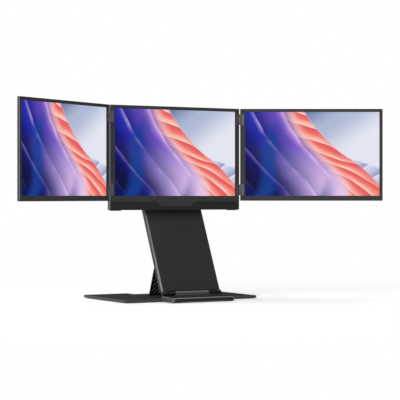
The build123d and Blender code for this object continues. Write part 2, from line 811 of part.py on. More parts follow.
# ---------------------------------------------------------------- centre screen
boss_reach = 5.0
back_screw_radius = 1.0
back_screw_head = 1.8
back_screw_depth = 4.0
back_screw_inset = 5.2
back_screw_places = (
    *((side * display_width * share, chin_bottom + 6.0) for side in SIDES for share in (0.28, 0.497)),
    *(
        (side * (screen_width / 2 - back_screw_inset), z)
        for side in SIDES
        for z in (wing_middle, screen_top_z - back_screw_inset)
    ),
)
speaker_size = (display_width * 0.1525, 14.0, 6.0)
driver_board_share = 0.53
driver_board_height = 16.0
speaker_x = display_width * 0.3714


def tab_outline(grow):
    """Trapezoid tab that dips from the bezel into the chin cover."""
    low = chin_top - tab_drop - grow
    slope = (tab_top_width - tab_bottom_width) / 2 / tab_drop
    top_half = tab_top_width / 2 + grow
    bottom_half = top_half - slope * (chin_top - low)
    return ((-top_half, chin_top + 1), (-top_half, chin_top), (-bottom_half, low),
            (bottom_half, low), (top_half, chin_top), (top_half, chin_top + 1))


def hinge_bosses(plane, edge_x, floor_depth, front_depth, width):
    """Solid seats inside a back shell behind each hinge leaf."""
    for middle in leaf_middles:
        half = leaf_height / 2 + shell_wall
        x_range = (min(edge_x, edge_x + width), max(edge_x, edge_x + width))
        block(plane, x_range, (middle - half, middle + half), floor_depth - front_depth)


def make_centre_shells():
    half = screen_width / 2
    rim = bezel_thickness
    with BuildPart() as centre_back_shell:
        whole = (chin_bottom, screen_top_z)
        back = screen_face(panel_thickness)
        rounded_block(back, (-half, half), whole, panel_thickness - rim, screen_corner)
        slope = chin_thickness - panel_thickness
        across = Plane.YZ.offset(-half)
        bulk = (
            (screen_y + rim, chin_bottom),
            (screen_y + chin_thickness, chin_bottom),
            (screen_y + chin_thickness, chin_bulk_top - slope),
            (screen_y + panel_thickness, chin_bulk_top),
            (screen_y + rim, chin_bulk_top),
        )
        profile(across, bulk, screen_width)
        low_back = centre_back_shell.edges().filter_by(Axis.X).group_by(Axis.Y)[-1].sort_by(Axis.Z)[0]
        chamfer(low_back, shell_wall / 2)
        high_back = centre_back_shell.edges().filter_by(Axis.X).group_by(Axis.Z)[-1].sort_by(Axis.Y)[-1]
        chamfer(high_back, shell_wall / 2)
        # hollow: a thin tray behind the display and a deeper one in the chin
        inner = half - shell_wall
        tray = (chin_bottom + shell_wall, screen_top_z - shell_wall)
        tray_depth = panel_thickness - shell_floor - rim
        block(screen_face(panel_thickness - shell_floor), (-inner, inner), tray, tray_depth, Mode.SUBTRACT)
        deep = (
            (screen_y + rim, chin_bottom + shell_wall),
            (screen_y + chin_thickness - shell_floor, chin_bottom + shell_wall),
            (screen_y + chin_thickness - shell_floor, chin_bulk_top - slope - shell_floor),
            (screen_y + panel_thickness - shell_floor, chin_bulk_top - shell_floor),
            (screen_y + rim, chin_bulk_top - shell_floor),
        )
        profile(Plane.YZ.offset(-inner), deep, 2 * inner, Mode.SUBTRACT)
        tray_floor = panel_thickness - shell_floor
        for side in SIDES:
            reach = leaf_width + 1.0
            seat = screen_face(tray_floor)
            hinge_bosses(seat, side * (half - reach), tray_floor, rim, side * (reach - shell_wall / 2))
            leaf_pocket(side, centre_leaf_plane, centre_edge[side], leaf_width)
        for x, z in back_screw_places:
            depth = panel_thickness if z > chin_bulk_top else chin_thickness
            head = screen_face(depth)
            rods(screen_face(depth), ((x, z),), back_screw_head + 1.0, depth - rim - recess)
            rods(head, ((x, z),), back_screw_radius + recess, back_screw_depth, Mode.SUBTRACT)
            rods(head, ((x, z),), back_screw_head + fit, 1.0, Mode.SUBTRACT)
        # sound slots over each speaker, through the chin's lower wall
        for side in SIDES:
            for n in range(9):
                x = side * speaker_x + (n - 4) * 4.0
                y_range = (screen_y + 5.0, screen_y + 10.0)
                block(Plane.XY.offset(chin_bottom - 1), (x - 0.6, x + 0.6), y_range, shell_wall + 2, Mode.SUBTRACT)

    with BuildPart() as centre_bezel:
        face = screen_face(rim)
        rounded_block(face, (-half, half), (chin_top, screen_top_z), rim, screen_corner)
        block(face, (-half, half), (chin_top, chin_top + screen_corner), rim)
        with BuildSketch(face) as tab:
            with BuildLine():
                Polyline(*tab_outline(0.0), close=True)
            make_face()
        extrude(tab.sketch, amount=rim)
        window_x = (-display_width / 2, display_width / 2)
        window_y = (display_bottom, display_bottom + display_height)
        block(face, window_x, window_y, rim, Mode.SUBTRACT)
        for side in SIDES:
            leaf_pocket(side, centre_leaf_plane, centre_edge[side], leaf_width)

    with BuildPart() as centre_chin_cover:
        thickness = rim - chin_step
        block(face, (-half, half), (chin_bottom, chin_top - recess), thickness)
        with BuildSketch(face) as notch:
            with BuildLine():
                Polyline(*tab_outline(fit), close=True)
            make_face()
        extrude(notch.sketch, amount=rim, mode=Mode.SUBTRACT)
    save_all({
        "centre_back_shell": centre_back_shell,
        "centre_bezel": centre_bezel,
        "centre_chin_cover": centre_chin_cover,
    })


def make_centre_inside():
    lap = display_overlap
    panel_x = (-display_width / 2 - lap, display_width / 2 + lap)
    panel_y = (display_bottom - lap, display_bottom + display_height + lap)
    glass_back = bezel_thickness + glass_thickness
    with BuildPart() as centre_display_panel:
        block(screen_face(glass_back), panel_x, panel_y, glass_thickness)

    with BuildPart() as centre_backlight:
        block(screen_face(glass_back + backlight_thickness), panel_x, panel_y, backlight_thickness)

    inside = chin_thickness - shell_floor
    board_low = chin_bottom + shell_wall + 6.0
    with BuildPart() as driver_board:
        board = screen_face(inside)
        half = display_width * driver_board_share / 2
        block(board, (-half, half), (board_low, board_low + driver_board_height), board_thickness)
        chip = driver_board_height * 0.35
        middle = board_low + driver_board_height / 2
        for place in (-0.62, -0.15, 0.38):
            x_range = (half * place - chip, half * place + chip)
            block(board.offset(board_thickness), x_range, (middle - chip, middle + chip), chip_height)

    length, height, depth = speaker_size
    speaker_low = chin_bottom + shell_wall
    with BuildPart() as speakers:
        for side in SIDES:
            x = side * speaker_x
            x_range = (x - length / 2, x + length / 2)
            rounded_block(screen_face(inside), x_range, (speaker_low, speaker_low + height), depth, 2.0)

    with BuildPart() as centre_back_screws:
        for x, z in back_screw_places:
            deep = panel_thickness if z > chin_bulk_top else chin_thickness
            head = screen_face(deep)
            rods(head, ((x, z),), back_screw_radius, back_screw_depth - fit)
            rods(head, ((x, z),), back_screw_head, 1.0 - recess)
            slot = back_screw_head * 0.6
            block(head, (x - slot, x + slot), (z - 0.2, z + 0.2), 0.5, Mode.SUBTRACT)
            block(head, (x - 0.2, x + 0.2), (z - slot, z + slot), 0.5, Mode.SUBTRACT)

    with BuildPart() as chin_pads:
        pad_low = Plane.XY.offset(chin_bottom - 1.4)
        for x_range in mirrored(screen_width / 2 - 27.6, screen_width / 2 - 3.6):
            y_range = (screen_y + 3.0, screen_y + chin_thickness - 3.0)
            rounded_block(pad_low, x_range, y_range, 1.4, 2.0)
    save_all({
        "centre_display_panel": centre_display_panel,
        "centre_backlight": centre_backlight,
        "driver_board": driver_board,
        "speakers": speakers,
        "centre_back_screws": centre_back_screws,
        "chin_pads": chin_pads,
    })


def make_tilt_bracket():
    half = tilt_block_width / 2
    across = Plane.YZ.offset(-half)
    plate_low = chin_bottom + 11.0
    plate_high = chin_bulk_top - (chin_thickness - panel_thickness) - 0.5
    plate_back = chin_back_y + 2.0
    arm_low = tilt_z - 3.4
    arm_high = tilt_z + 3.4
    screws = tuple((n * half / 4, plate_low + 5.5) for n in (-3, -1, 1, 3))
    with BuildPart() as tilt_hinge_bracket:
        profile(
            across,
            ((chin_back_y, plate_low), (plate_back, plate_low), (plate_back, plate_high), (chin_back_y, plate_high)),
            tilt_block_width,
        )
        arm = ((chin_back_y, arm_low), (tilt_y, arm_low), (tilt_y, arm_high), (chin_back_y, arm_high))
        profile(across, arm, tilt_block_width)
        rods(across, ((tilt_y, tilt_z),), knuckle_radius, tilt_block_width)
        rods(across, ((tilt_y, tilt_z),), tilt_pin_radius + running, tilt_block_width, Mode.SUBTRACT)
        plate_face = screen_face(chin_thickness + 2.0)
        rods(plate_face, screws, 1.25 + fit, 2.0, Mode.SUBTRACT)

    with BuildPart() as tilt_bracket_screws:
        head = screen_face(chin_thickness + 2.0)
        rods(head, screws, 1.25, 2.0)
        rods(head, screws, 2.2, -1.0)
        for x, z in screws:
            top = head.offset(-1.0)
            block(top, (x - 1.3, x + 1.3), (z - 0.25, z + 0.25), 0.6, Mode.SUBTRACT)
            block(top, (x - 0.25, x + 0.25), (z - 1.3, z + 1.3), 0.6, Mode.SUBTRACT)
    save_all({"tilt_hinge_bracket": tilt_hinge_bracket, "tilt_bracket_screws": tilt_bracket_screws})


def make_centre_leaves():
    for side, word in SIDES.items():
        with BuildPart() as leaves:
            seam_leaf(side, centre_leaf_plane, centre_edge[side], leaf_width, True)
        save(leaves, f"centre_{word}_leaves")
        make_seam_pin(side)


# ---------------------------------------------------------------- wings
def make_wing(side):
    word = SIDES[side]
    near, far = wing_edge[side], wing_edge[side] + wing_length

    def span(low, high):
        """A range out from the pin, in the wing's own x."""
        return (low, high) if side == RIGHT else (-high, -low)

    height = (wing_bottom, screen_top_z)
    rim = bezel_thickness
    with BuildPart() as back_shell:
        back = wing_face(side, wing_thickness)
        rounded_block(back, span(near, far), height, wing_thickness - rim, screen_corner)
        outer_back = back_shell.faces().sort_by(Axis((0, 0, 0), -back.z_dir))[-1].edges()
        chamfer(outer_back, shell_wall / 2)
        tray_floor = wing_thickness - wing_floor
        tray = wing_face(side, tray_floor)
        tray_x = span(near + shell_wall, far - shell_wall)
        tray_y = (wing_bottom + shell_wall, screen_top_z - shell_wall)
        block(tray, tray_x, tray_y, tray_floor - rim, Mode.SUBTRACT)
        reach = wing_hinge_border - display_overlap - fit - shell_wall / 2
        hinge_bosses(tray, side * (near + shell_wall / 2), tray_floor, rim, side * reach)
        leaf_pocket(side, wing_leaf_plane, wing_edge[side], leaf_width)

    window_in = near + wing_hinge_border
    window_out = window_in + display_width
    window_y = (wing_bottom + wing_lower_border, wing_bottom + wing_lower_border + display_height)
    with BuildPart() as bezel:
        face = wing_face(side, rim)
        rounded_block(face, span(near, far), height, rim, screen_corner)
        block(face, span(window_in, window_out), window_y, rim, Mode.SUBTRACT)
        leaf_pocket(side, wing_leaf_plane, wing_edge[side], leaf_width)

    lap = display_overlap
    panel_x = span(window_in - lap, window_out + lap)
    panel_y = (window_y[0] - lap, window_y[1] + lap)
    glass_back = rim + glass_thickness
    with BuildPart() as display_panel:
        block(wing_face(side, glass_back), panel_x, panel_y, glass_thickness)

    light_back = glass_back + wing_backlight_thickness
    with BuildPart() as backlight:
        block(wing_face(side, light_back), panel_x, panel_y, wing_backlight_thickness)

    with BuildPart() as board:
        board_x = (near + shell_wall + fit, window_in - lap - fit)
        board_half = wing_board_share * wing_height / 2
        board_y = (wing_middle - board_half, wing_middle + board_half)
        block(tray, span(*board_x), board_y, board_thickness)
        chip_middle = sum(board_x) / 2
        for n in (-1, 0, 1):
            place = wing_middle + n * board_half * 0.55
            chip_y = (place - wing_chip[1] / 2, place + wing_chip[1] / 2)
            chip_x = span(chip_middle - wing_chip[0] / 2, chip_middle + wing_chip[0] / 2)
            block(tray.offset(board_thickness), chip_x, chip_y, 0.9)

    with BuildPart() as leaves:
        seam_leaf(side, wing_leaf_plane, wing_edge[side], leaf_width, False)
    save_all({
        f"{word}_back_shell": back_shell,
        f"{word}_bezel": bezel,
        f"{word}_display_panel": display_panel,
        f"{word}_backlight": backlight,
        f"{word}_board": board,
        f"{word}_wing_leaves": leaves,
    })


make_base()
make_foot()
make_lower_hinge()
make_column_shells()
make_electronics()
make_buttons()
make_tilt_lugs()
make_brace()
make_centre_shells()
make_centre_inside()
make_tilt_bracket()
make_centre_leaves()
for wing_side in SIDES:
    make_wing(wing_side)
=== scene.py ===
import json
from math import cos, pi, radians, sin

import bpy
from mathutils import Matrix, Vector


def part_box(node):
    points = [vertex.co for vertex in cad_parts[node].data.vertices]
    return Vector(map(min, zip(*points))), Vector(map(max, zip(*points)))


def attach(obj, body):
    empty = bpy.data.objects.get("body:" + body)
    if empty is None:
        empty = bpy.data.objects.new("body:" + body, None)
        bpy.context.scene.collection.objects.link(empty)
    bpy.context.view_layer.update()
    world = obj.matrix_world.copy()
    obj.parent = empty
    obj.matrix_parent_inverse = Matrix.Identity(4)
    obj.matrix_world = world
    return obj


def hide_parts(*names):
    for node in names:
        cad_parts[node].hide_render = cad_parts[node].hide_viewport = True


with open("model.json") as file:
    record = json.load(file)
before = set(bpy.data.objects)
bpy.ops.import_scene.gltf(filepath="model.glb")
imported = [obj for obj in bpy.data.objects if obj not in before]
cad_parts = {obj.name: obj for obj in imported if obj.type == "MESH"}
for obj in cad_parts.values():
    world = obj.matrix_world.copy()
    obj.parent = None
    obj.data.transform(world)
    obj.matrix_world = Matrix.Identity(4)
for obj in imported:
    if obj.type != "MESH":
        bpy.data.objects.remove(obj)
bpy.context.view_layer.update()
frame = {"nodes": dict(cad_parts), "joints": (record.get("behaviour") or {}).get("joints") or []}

bl_info = {
    "name": "Folding Triple Screen",
    "version": (1, 0, 0),
    "blender": (4, 5, 0),
    "location": "View3D > Sidebar > Triple Screen",
    "description": "Builds a folding triple screen on its stand, piece by piece",
    "category": "Add Mesh",
}

MM = 0.001
JOINTS = {joint["name"]: joint for joint in frame["joints"]}
SIDES = {-1: "left", 1: "right"}


# --- sizes and colours
def length(name, description, default):
    """A length property in metres, from millimetres."""
    return bpy.props.FloatProperty(
        name=name, description=description, default=default * MM, min=0.0, precision=4,
        unit="LENGTH", subtype="DISTANCE",
    )


def colour(name, description, *default):
    """A colour property from three linear values, or from one for a grey."""
    return bpy.props.FloatVectorProperty(
        name=name, description=description, default=default * (3 // len(default)), size=3,
        min=0.0, max=1.0, subtype="COLOR",
    )


class BaseSizes(bpy.types.PropertyGroup):
    """Sizes of the base plate and the front foot."""

    plate_corner: length("Plate corner", "Radius of the plate's corners seen from above", 3.0)
    plate_edge: length("Plate edge", "Width of the rounding on the plate's upper edge", 0.6)
    track_half: length("Track half width", "Half the width of the brace's track", 54.0)
    track_depth: length("Track depth", "Depth of the brace's track in the plate", 2.5)
    foot_front_height: length("Foot front height", "Height of the foot at its front", 10.2)
    foot_rear_height: length("Foot rear height", "Height of the foot at the plate", 11.6)
    foot_ledge: length("Foot ledge", "How far the foot laps over the plate", 4.4)
    foot_corner: length("Foot corner", "Cut across the foot's front corners", 3.0)
    foot_rim: length("Foot rim", "Cut along the foot's edges", 1.1)
    edge: length("Edge", "Rounding of the small edges", 0.35)


class ColumnSizes(bpy.types.PropertyGroup):
    """Sizes of the column."""

    start: length("Start", "From the lower pin to the column's lower end", 5.5)
    end: length("End", "From the lower pin to the column's upper end", 224.5)
    back: length("Back", "Column's back face behind the pins", 9.8)
    front: length("Front", "Column's front face in front of the pins", 1.0)
    chamfer: length("Chamfer", "Cut along the long front edges", 3.0)
    side_wall: length("Side wall", "Thickness of the side walls", 2.5)
    front_wall: length("Front wall", "Thickness of the front and end walls", 2.0)
    edge: length("Edge", "Rounding of the column's edges", 0.4)


class BraceSizes(bpy.types.PropertyGroup):
    """Sizes of the brace."""

    length: length("Length", "From the brace's hinge to its foot", 114.106)
    thickness: length("Thickness", "Thickness of the brace's sheet", 3.2)
    knuckle: length("Knuckle", "Radius of the knuckle at the hinge", 2.3)
    frame: length("Frame", "Plain border round the ribs", 4.0)
    recess: length("Recess", "Depth of the ribbed window", 1.0)
    rib_height: length("Rib height", "Height of the ribs over the window's floor", 0.8)
    rib_width: length("Rib width", "Width of each rib", 2.6)
    rib_pitch: length("Rib pitch", "Spacing of the ribs across their run", 7.8)
    rib_slant: bpy.props.FloatProperty(
        name="Rib slant", description="Turn of the ribs from the brace's length",
        default=radians(40), subtype="ANGLE",
    )


class ScreenSizes(bpy.types.PropertyGroup):
    """Sizes of the three screens."""

    bezel: length("Bezel thickness", "Thickness of the front frames", 1.2)
    corner: length("Corner", "Radius of the frames' outer corners", 2.0)
    display_width: length("Display width", "Picture width of all screens", 301.6)
    display_height: length("Display height", "Picture height of all screens", 188.5)
    display_above_chin: length("Display rise", "Picture above the chin's lower edge", 30.8)
    chin_height: length("Chin height", "Height of the lower cover", 18.0)
    chin_step: length("Chin step", "How far the lower cover lies behind the frame", 0.5)
    tab_top: length("Tab top", "Upper width of the tab in the lower cover", 96.0)
    tab_bottom: length("Tab bottom", "Lower width of the tab in the lower cover", 71.0)
    tab_drop: length("Tab drop", "Height of the tab", 10.0)
    side_length: length("Side screen length", "Length of the side screens", 319.85)
    side_height: length("Side screen height", "Height of the side screens", 206.6)
    side_hinge_border: length("Hinge border", "Frame width beside the hinges", 10.9)
    side_lower_border: length("Lower border", "Frame width under the side pictures", 11.2)
    rim: length("Rim", "Rounding round the front of the side frames", 0.9)
    seam_lip: length("Seam lip", "How far the right frame reaches into the seam's gap", 0.8)
    lap: length("Lap", "How far each display reaches under its frame", 2.0)
    edge: length("Edge", "Rounding of the frames' edges", 0.22)


class Finishes(bpy.types.PropertyGroup):
    """Colours of the finishes."""

    bezel: colour("Frame plastic", "Fine-textured plastic round the pictures", 0.028, 0.027, 0.026)
    chin: colour("Lower cover", "Dark cover under the centre picture", 0.009, 0.0085, 0.0095)
    shell: colour("Screen backs", "Anodised metal at the back of the screens", 0.068, 0.070, 0.075)
    column: colour("Column", "Dark coated metal of the column", 0.020)
    base: colour("Base", "Coated steel of the base plate", 0.026, 0.026, 0.027)
    foot: colour("Foot", "Textured plastic of the front foot", 0.015, 0.015, 0.016)
    brace: colour("Brace", "Dark coated metal of the brace", 0.008)
    hinge: colour("Hinges", "Coated metal of the hinges", 0.010, 0.010, 0.011)
    leaf: colour("Seam leaves", "Coated metal of the seam hinges", 0.125)
    cut_edge: colour("Cut edges", "Machined front edges of the column", 0.095)
    # painted highlight: the light rim tone stands in for the light that the foot's rims and the
    # side frames' outer ends catch
    rim: colour("Rims", "Bright cut rims of the foot and the side frames", 0.18)
    # painted highlight: the light rib tone stands in for the light that the brace's rib tops catch
    # in the shade
    rib: colour("Ribs", "Bright tops of the brace's ribs", 0.28)
    # painted light: the plate walls' tone is a lighter copy of the base coat, standing in for the
    # side light on the walls of the plate and the foot
    edge_metal: colour(
        "Plate walls", "Coated side walls of the base plate and the foot", 0.054, 0.054, 0.055
    )
    rubber: colour("Rubber", "Pads and mat", 0.012)
    steel: colour("Steel", "Screws and pins", 0.56, 0.56, 0.55)
    port: colour("Port shells", "Shells of the ports", 0.36, 0.35, 0.32)
    board: colour("Boards", "Solder mask of the circuit boards", 0.012, 0.09, 0.035)
    film: colour("Film", "Milky film behind the pictures", 0.8)
    mask: colour("Picture mask", "Unlit border of the pictures", 0.006, 0.006, 0.008)


def sizes(name):
    """The scene's settings of that name."""
    return getattr(bpy.context.scene, name)


# --- places
def carrier(origin, x_axis, y_axis):
    """Matrix of a local frame: its X and Y axes and its origin in the object's frame."""
    x_axis, y_axis = Vector(x_axis), Vector(y_axis)
    place = Matrix((x_axis, y_axis, x_axis.cross(y_axis))).transposed().to_4x4()
    place.translation = Vector(origin)
    return place


def pin_of(joint):
    """Where a joint's pin is."""
    return Vector(JOINTS[joint]["pos_m"])


TINY = 1e-6
SLIT = 0.05 * MM  # left open between a part and the one it meets
COLUMN_LEAN = radians(25.1)
SIDE_FOLD = radians(30.0)
# x across, y to its front, z down the column, for outlines drawn across it
COLUMN = carrier(pin_of("column_tilt"), (1, 0, 0), (0, -cos(COLUMN_LEAN), sin(COLUMN_LEAN)))
SCREEN_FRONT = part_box("centre_bezel")[0].y
# x across, y up, z to the front, on the centre screen's front face
CENTRE = carrier((0, SCREEN_FRONT, 0), (1, 0, 0), (0, 0, 1))
SCREEN_LOW, SCREEN_TOP = (corner.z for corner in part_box("centre_back_shell"))

# the seams, by side: how far the pins stand before the front faces and lie from the middle, and
# how far the centre screen's and the side screens' edges lie from the pins
SEAM_PROUD = {side: SCREEN_FRONT - pin_of(f"{word}_screen_fold").y for side, word in SIDES.items()}
SEAM_X = {side: side * pin_of(f"{word}_screen_fold").x for side, word in SIDES.items()}
CENTRE_EDGE = {side: SEAM_X[side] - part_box("centre_bezel")[1].x for side in SIDES}
WING_EDGE = {-1: 1.45 * MM, 1: 1.05 * MM}
PINS_LOW, PINS_TOP = (corner.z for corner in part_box("left_seam_pins"))
PIN_LENGTH = 24.5 * MM
LEAF_Z = [(PINS_TOP * 2 - PIN_LENGTH) / 2, (PINS_LOW * 2 + PIN_LENGTH) / 2]
LEAF_HALF = 12.35 * MM  # half the height of a leaf's room
LEAF_REACH = 7.4 * MM  # from a screen's edge to the far end of its leaves
KNUCKLE_ROOM = 2.3 * MM
DISPLAY_DEPTH = 0.8 * MM
DEEP, PROUD = 5 * MM, 2 * MM  # how far cutters reach behind and before a frame's face

# the foot: screws that hold it under the plate, studs (across, in front of the plate and up), its
# hollow, and the holes' radii and depths
FOOT_SCREWS = [(n * 17.3736 * MM, -0.100) for n in (-3, -1, 1, 3)]
STUD = (64.008 * MM, 2.6 * MM, 11.2 * MM)
FOOT_WALL = 2 * MM
FOOT_HOLLOW_TOP = 8.2 * MM
HEAD_HOLE, SHANK_HOLE, STUD_HOLE = 1.9 * MM, 1.2 * MM, 1.65 * MM
HEAD_DEPTH, SHANK_DEPTH, STUD_DEPTH, THREAD_DEPTH = 1.5 * MM, 8 * MM, 2.4 * MM, 3.2 * MM

# openings in the column's side walls for USB-C, HDMI, USB-C again and the buttons: side, width,
# height, where the middle lies from the pins' plane, and distances up the column, in mm
OPENINGS = (
    (1, 9.2, 3.4, -5.5, (128.0, 89.5, 74.0, 43.0)),
    (1, 15.2, 4.6, -4.9, (112.0, 57.5)),
    (-1, 9.2, 3.4, -5.5, (32.0,)),
    (-1, 6.0, 3.2, -4.65, (92.0, 83.5, 75.5)),
)
# notches for the hinge lugs on both sides: from and to across, from and to up the column, in mm
LUG_NOTCHES = ((61.0, 70.0, 4.5, 8.5), (49.2, 61.4, 221.5, 225.5))
OPENING_CORNER = 0.3  # radius as a share of an opening's height
# the well for the folded brace: gap at each side, floor behind the pins, notch in the end wall
WELL_GAP, WELL_FLOOR, WELL_NOTCH = 2.1 * MM, 3.3 * MM, 3 * MM
# the brace's bosses, as shares of its half width and its length
BOSS_ACROSS, BOSS_ALONG = 0.654, 0.803
BOSS, BOSS_HOLE, BRACE_BORE = 2.8 * MM, 1.4 * MM, 1.25 * MM


def wing(side):
    """x along a side screen to the right, y up, z to its front, from its pins on its front face."""
    pin = pin_of(f"{SIDES[side]}_screen_fold")
    across = Vector((cos(SIDE_FOLD), -side * sin(SIDE_FOLD), 0))
    place = carrier((pin.x, pin.y, 0), across, (0, 0, 1))
    return place @ Matrix.Translation((0, 0, -SEAM_PROUD[side]))


# --- modelling
def deselect():
    bpy.ops.object.select_all(action="DESELECT")


def mode(name):
    bpy.ops.object.mode_set(mode=name)


def only(piece):
    """Select this piece and nothing else, and make it the active one."""
    deselect()
    piece.select_set(True)
    bpy.context.view_layer.objects.active = piece


def edit(piece, action="SELECT"):
    """Open a piece in edit mode with all of it selected, or none."""
    only(piece)
    mode("EDIT")
    bpy.ops.mesh.select_all(action=action)


def named(name):
    """Name the active piece and its mesh."""
    piece = bpy.context.object
    piece.name = piece.data.name = name
    return piece


def settle(piece):
    """Put a piece's place, turn and size into its mesh."""
    only(piece)
    bpy.ops.object.transform_apply(location=True, rotation=True, scale=True)
    return piece


def block(name, low, high):
    """A block between two corners."""
    deselect()
    middle = [(a + b) / 2 for a, b in zip(low, high)]
    bpy.ops.mesh.primitive_cube_add(size=1, location=middle)
    piece = named(name)
    piece.scale = [abs(b - a) for a, b in zip(low, high)]
    return settle(piece)


def rod(name, middle, radius, depth, axis="Z", sides=40):
    """A round rod about its middle."""
    turn = {"X": (0, pi / 2, 0), "Y": (pi / 2, 0, 0), "Z": (0, 0, 0)}[axis]
    deselect()
    bpy.ops.mesh.primitive_cylinder_add(
        vertices=sides, radius=radius, depth=depth, location=middle, rotation=turn
    )
    return settle(named(name))


def prism(name, points, low, high):
    """An outline in the local X and Y, extruded from low to high."""
    deselect()
    bpy.ops.mesh.primitive_circle_add(vertices=len(points), radius=1, fill_type="NGON")
    piece = named(name)
    for vertex, point in zip(piece.data.vertices, points):
        vertex.co = (point[0], point[1], low)
    edit(piece)
    bpy.ops.mesh.extrude_region_move(TRANSFORM_OT_translate={"value": (0, 0, high - low)})
    bpy.ops.mesh.select_all(action="SELECT")
    bpy.ops.mesh.normals_make_consistent(inside=False)
    mode("OBJECT")
    return piece


def rounded(x_range, y_range, radius, low_radius=None):
    """Outline of a rectangle with round corners, the lower two with their own radius."""
    steps = 6
    low_radius = radius if low_radius is None else low_radius
    corners = (
        (x_range[1], y_range[1], 1, 1, radius, 0),
        (x_range[0], y_range[1], -1, 1, radius, pi / 2),
        (x_range[0], y_range[0], -1, -1, low_radius, pi),
        (x_range[1], y_range[0], 1, -1, low_radius, 3 * pi / 2),
    )
    points = []
    for x, y, right, up, r, start in corners:
        if r == 0:
            points.append((x, y))
            continue
        for step in range(steps + 1):
            turn = start + pi / 2 * step / steps
            points.append((x - right * r + r * cos(turn), y - up * r + r * sin(turn)))
    return points


def modify(piece, kind, **settings):
    """Add a modifier and apply it."""
    only(piece)
    modifier = piece.modifiers.new(kind.lower(), kind)
    for key, value in settings.items():
        setattr(modifier, key, value)
    bpy.ops.object.modifier_apply(modifier=modifier.name)


def combine(piece, operation, *others):
    """Apply other shapes to a piece, one after the other; the others go."""
    for other in others:
        modify(piece, "BOOLEAN", operation=operation, solver="EXACT", object=other)
        bpy.data.objects.remove(other)


def merge(piece, *others):
    """Unite other shapes with a piece."""
    combine(piece, "UNION", *others)


def carve(piece, *cutters):
    """Cut shapes out of a piece."""
    combine(piece, "DIFFERENCE", *cutters)


def soften(piece, width, segments=3, angle=30):
    """Round every edge that turns by more than the angle."""
    modify(
        piece, "BEVEL", width=width, segments=segments, limit_method="ANGLE",
        angle_limit=radians(angle), use_clamp_overlap=False, miter_outer="MITER_ARC",
    )
    return piece


def edge_bevel(piece, picked, width, segments=1, slot=-1, profile=0.5):
    """Bevel the edges whose two ends pass a test; slot is the new faces' finish."""
    edit(piece, "DESELECT")
    bpy.ops.mesh.select_mode(type="EDGE")
    mode("OBJECT")
    for edge in piece.data.edges:
        edge.select = picked(*(piece.data.vertices[n].co for n in edge.vertices))
    mode("EDIT")
    bpy.ops.mesh.bevel(offset=width, segments=segments, profile=profile, material=slot)
    mode("OBJECT")


def paint(piece, kind, picked=None):
    """Give the picked faces, or all of them, a finish in a slot of its own."""
    piece.data.materials.append(finish(kind))
    for face in piece.data.polygons:
        if picked is None or picked(face):
            face.material_index = len(piece.data.materials) - 1


def fit(piece, body, kind, node, place=None):
    """Carry a finished piece to its place, give it its finish and hand it to its body."""
    if place is not None:
        piece.matrix_world = place
        settle(piece)
    only(piece)
    bpy.ops.object.shade_smooth_by_angle(angle=radians(32))
    modify(piece, "WEIGHTED_NORMAL", weight=100, keep_sharp=True)
    if not piece.data.materials:
        piece.data.materials.append(finish(kind))
    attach(piece, body)
    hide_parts(node)


def fit_copy(node, body, kind, width):
    """Put a copy with merged triangles and rounded edges, width in mm, in a CAD node's place."""
    piece = bpy.data.objects.new(node + "_body", frame["nodes"][node].data.copy())
    bpy.context.scene.collection.objects.link(piece)
    piece.data.materials.clear()
    edit(piece)
    bpy.ops.mesh.remove_doubles(threshold=2e-6)
    bpy.ops.mesh.customdata_custom_splitnormals_clear()
    bpy.ops.mesh.dissolve_limited(angle_limit=radians(1.0))
    mode("OBJECT")
    soften(piece, width * MM, 2)
    fit(piece, body, kind, node)


def dress(kind, *nodes):
    """Give CAD nodes a finish."""
    for node in nodes:
        for slot in frame["nodes"][node].material_slots:
            slot.material = finish(kind)


# --- shader maths
def maths(operation):
    """A method that adds a Math node of that kind."""
    return lambda self, *others: self.math(operation, self, *others)


class Number:
    """A float socket that adds Math nodes when it is used in an expression."""

    def __init__(self, graph, socket):
        self.graph, self.socket = graph, socket

    def math(self, operation, *values, clamp=False):
        sockets = dict(enumerate(values))
        node = self.graph.node("Math", sockets, operation=operation, use_clamp=clamp)
        return Number(self.graph, node.outputs[0])

    __add__ = __radd__ = maths("ADD")
    __mul__ = __rmul__ = maths("MULTIPLY")
    __sub__ = maths("SUBTRACT")
    sine, fraction, size = maths("SINE"), maths("FRACT"), maths("ABSOLUTE")

    def __rsub__(self, other):
        return self.math("SUBTRACT", other, self)

    def clamped(self):
        return self.math("ADD", self, 0.0, clamp=True)

    def step(self, low, high):
        """Smooth rise from 0 at low to 1 at high."""
        return self.graph.rise(self, low, high)


class Graph:
    """A node tree under construction."""

    def __init__(self, tree):
        self.nodes, self.links = tree.nodes, tree.links
        self.nodes.clear()

    def node(self, kind, sockets=None, **settings):
        """Any node, with the values or links of its sockets and its settings."""
        node = self.nodes.new("ShaderNode" + kind)
        for key, value in settings.items():
            setattr(node, key, value)
        for key, value in (sockets or {}).items():
            self.feed(node.inputs[key], value)
        return node

    def feed(self, socket, value):
        """Link a socket to a number, a node's first output or an output, or set a constant."""
        if isinstance(value, Number):
            value = value.socket
        if isinstance(value, bpy.types.Node):
            value = value.outputs[0]
        if isinstance(value, bpy.types.NodeSocket):
            self.links.new(value, socket)
        elif socket.type == "RGBA" and len(value) == 3:
            socket.default_value = (*value, 1.0)
        else:
            socket.default_value = value

    def rise(self, value, low, high, first=0.0, last=1.0):
        """Smooth rise from the first value at low to the last at high."""
        sockets = {
            "Value": value, "From Min": low, "From Max": high, "To Min": first, "To Max": last
        }
        node = self.node("MapRange", sockets, interpolation_type="SMOOTHSTEP")
        return Number(self, node.outputs["Result"])

    def blend(self, factor, first, second):
        """Mix two surfaces or backgrounds."""
        return self.node("MixShader", {0: factor, 1: first, 2: second})


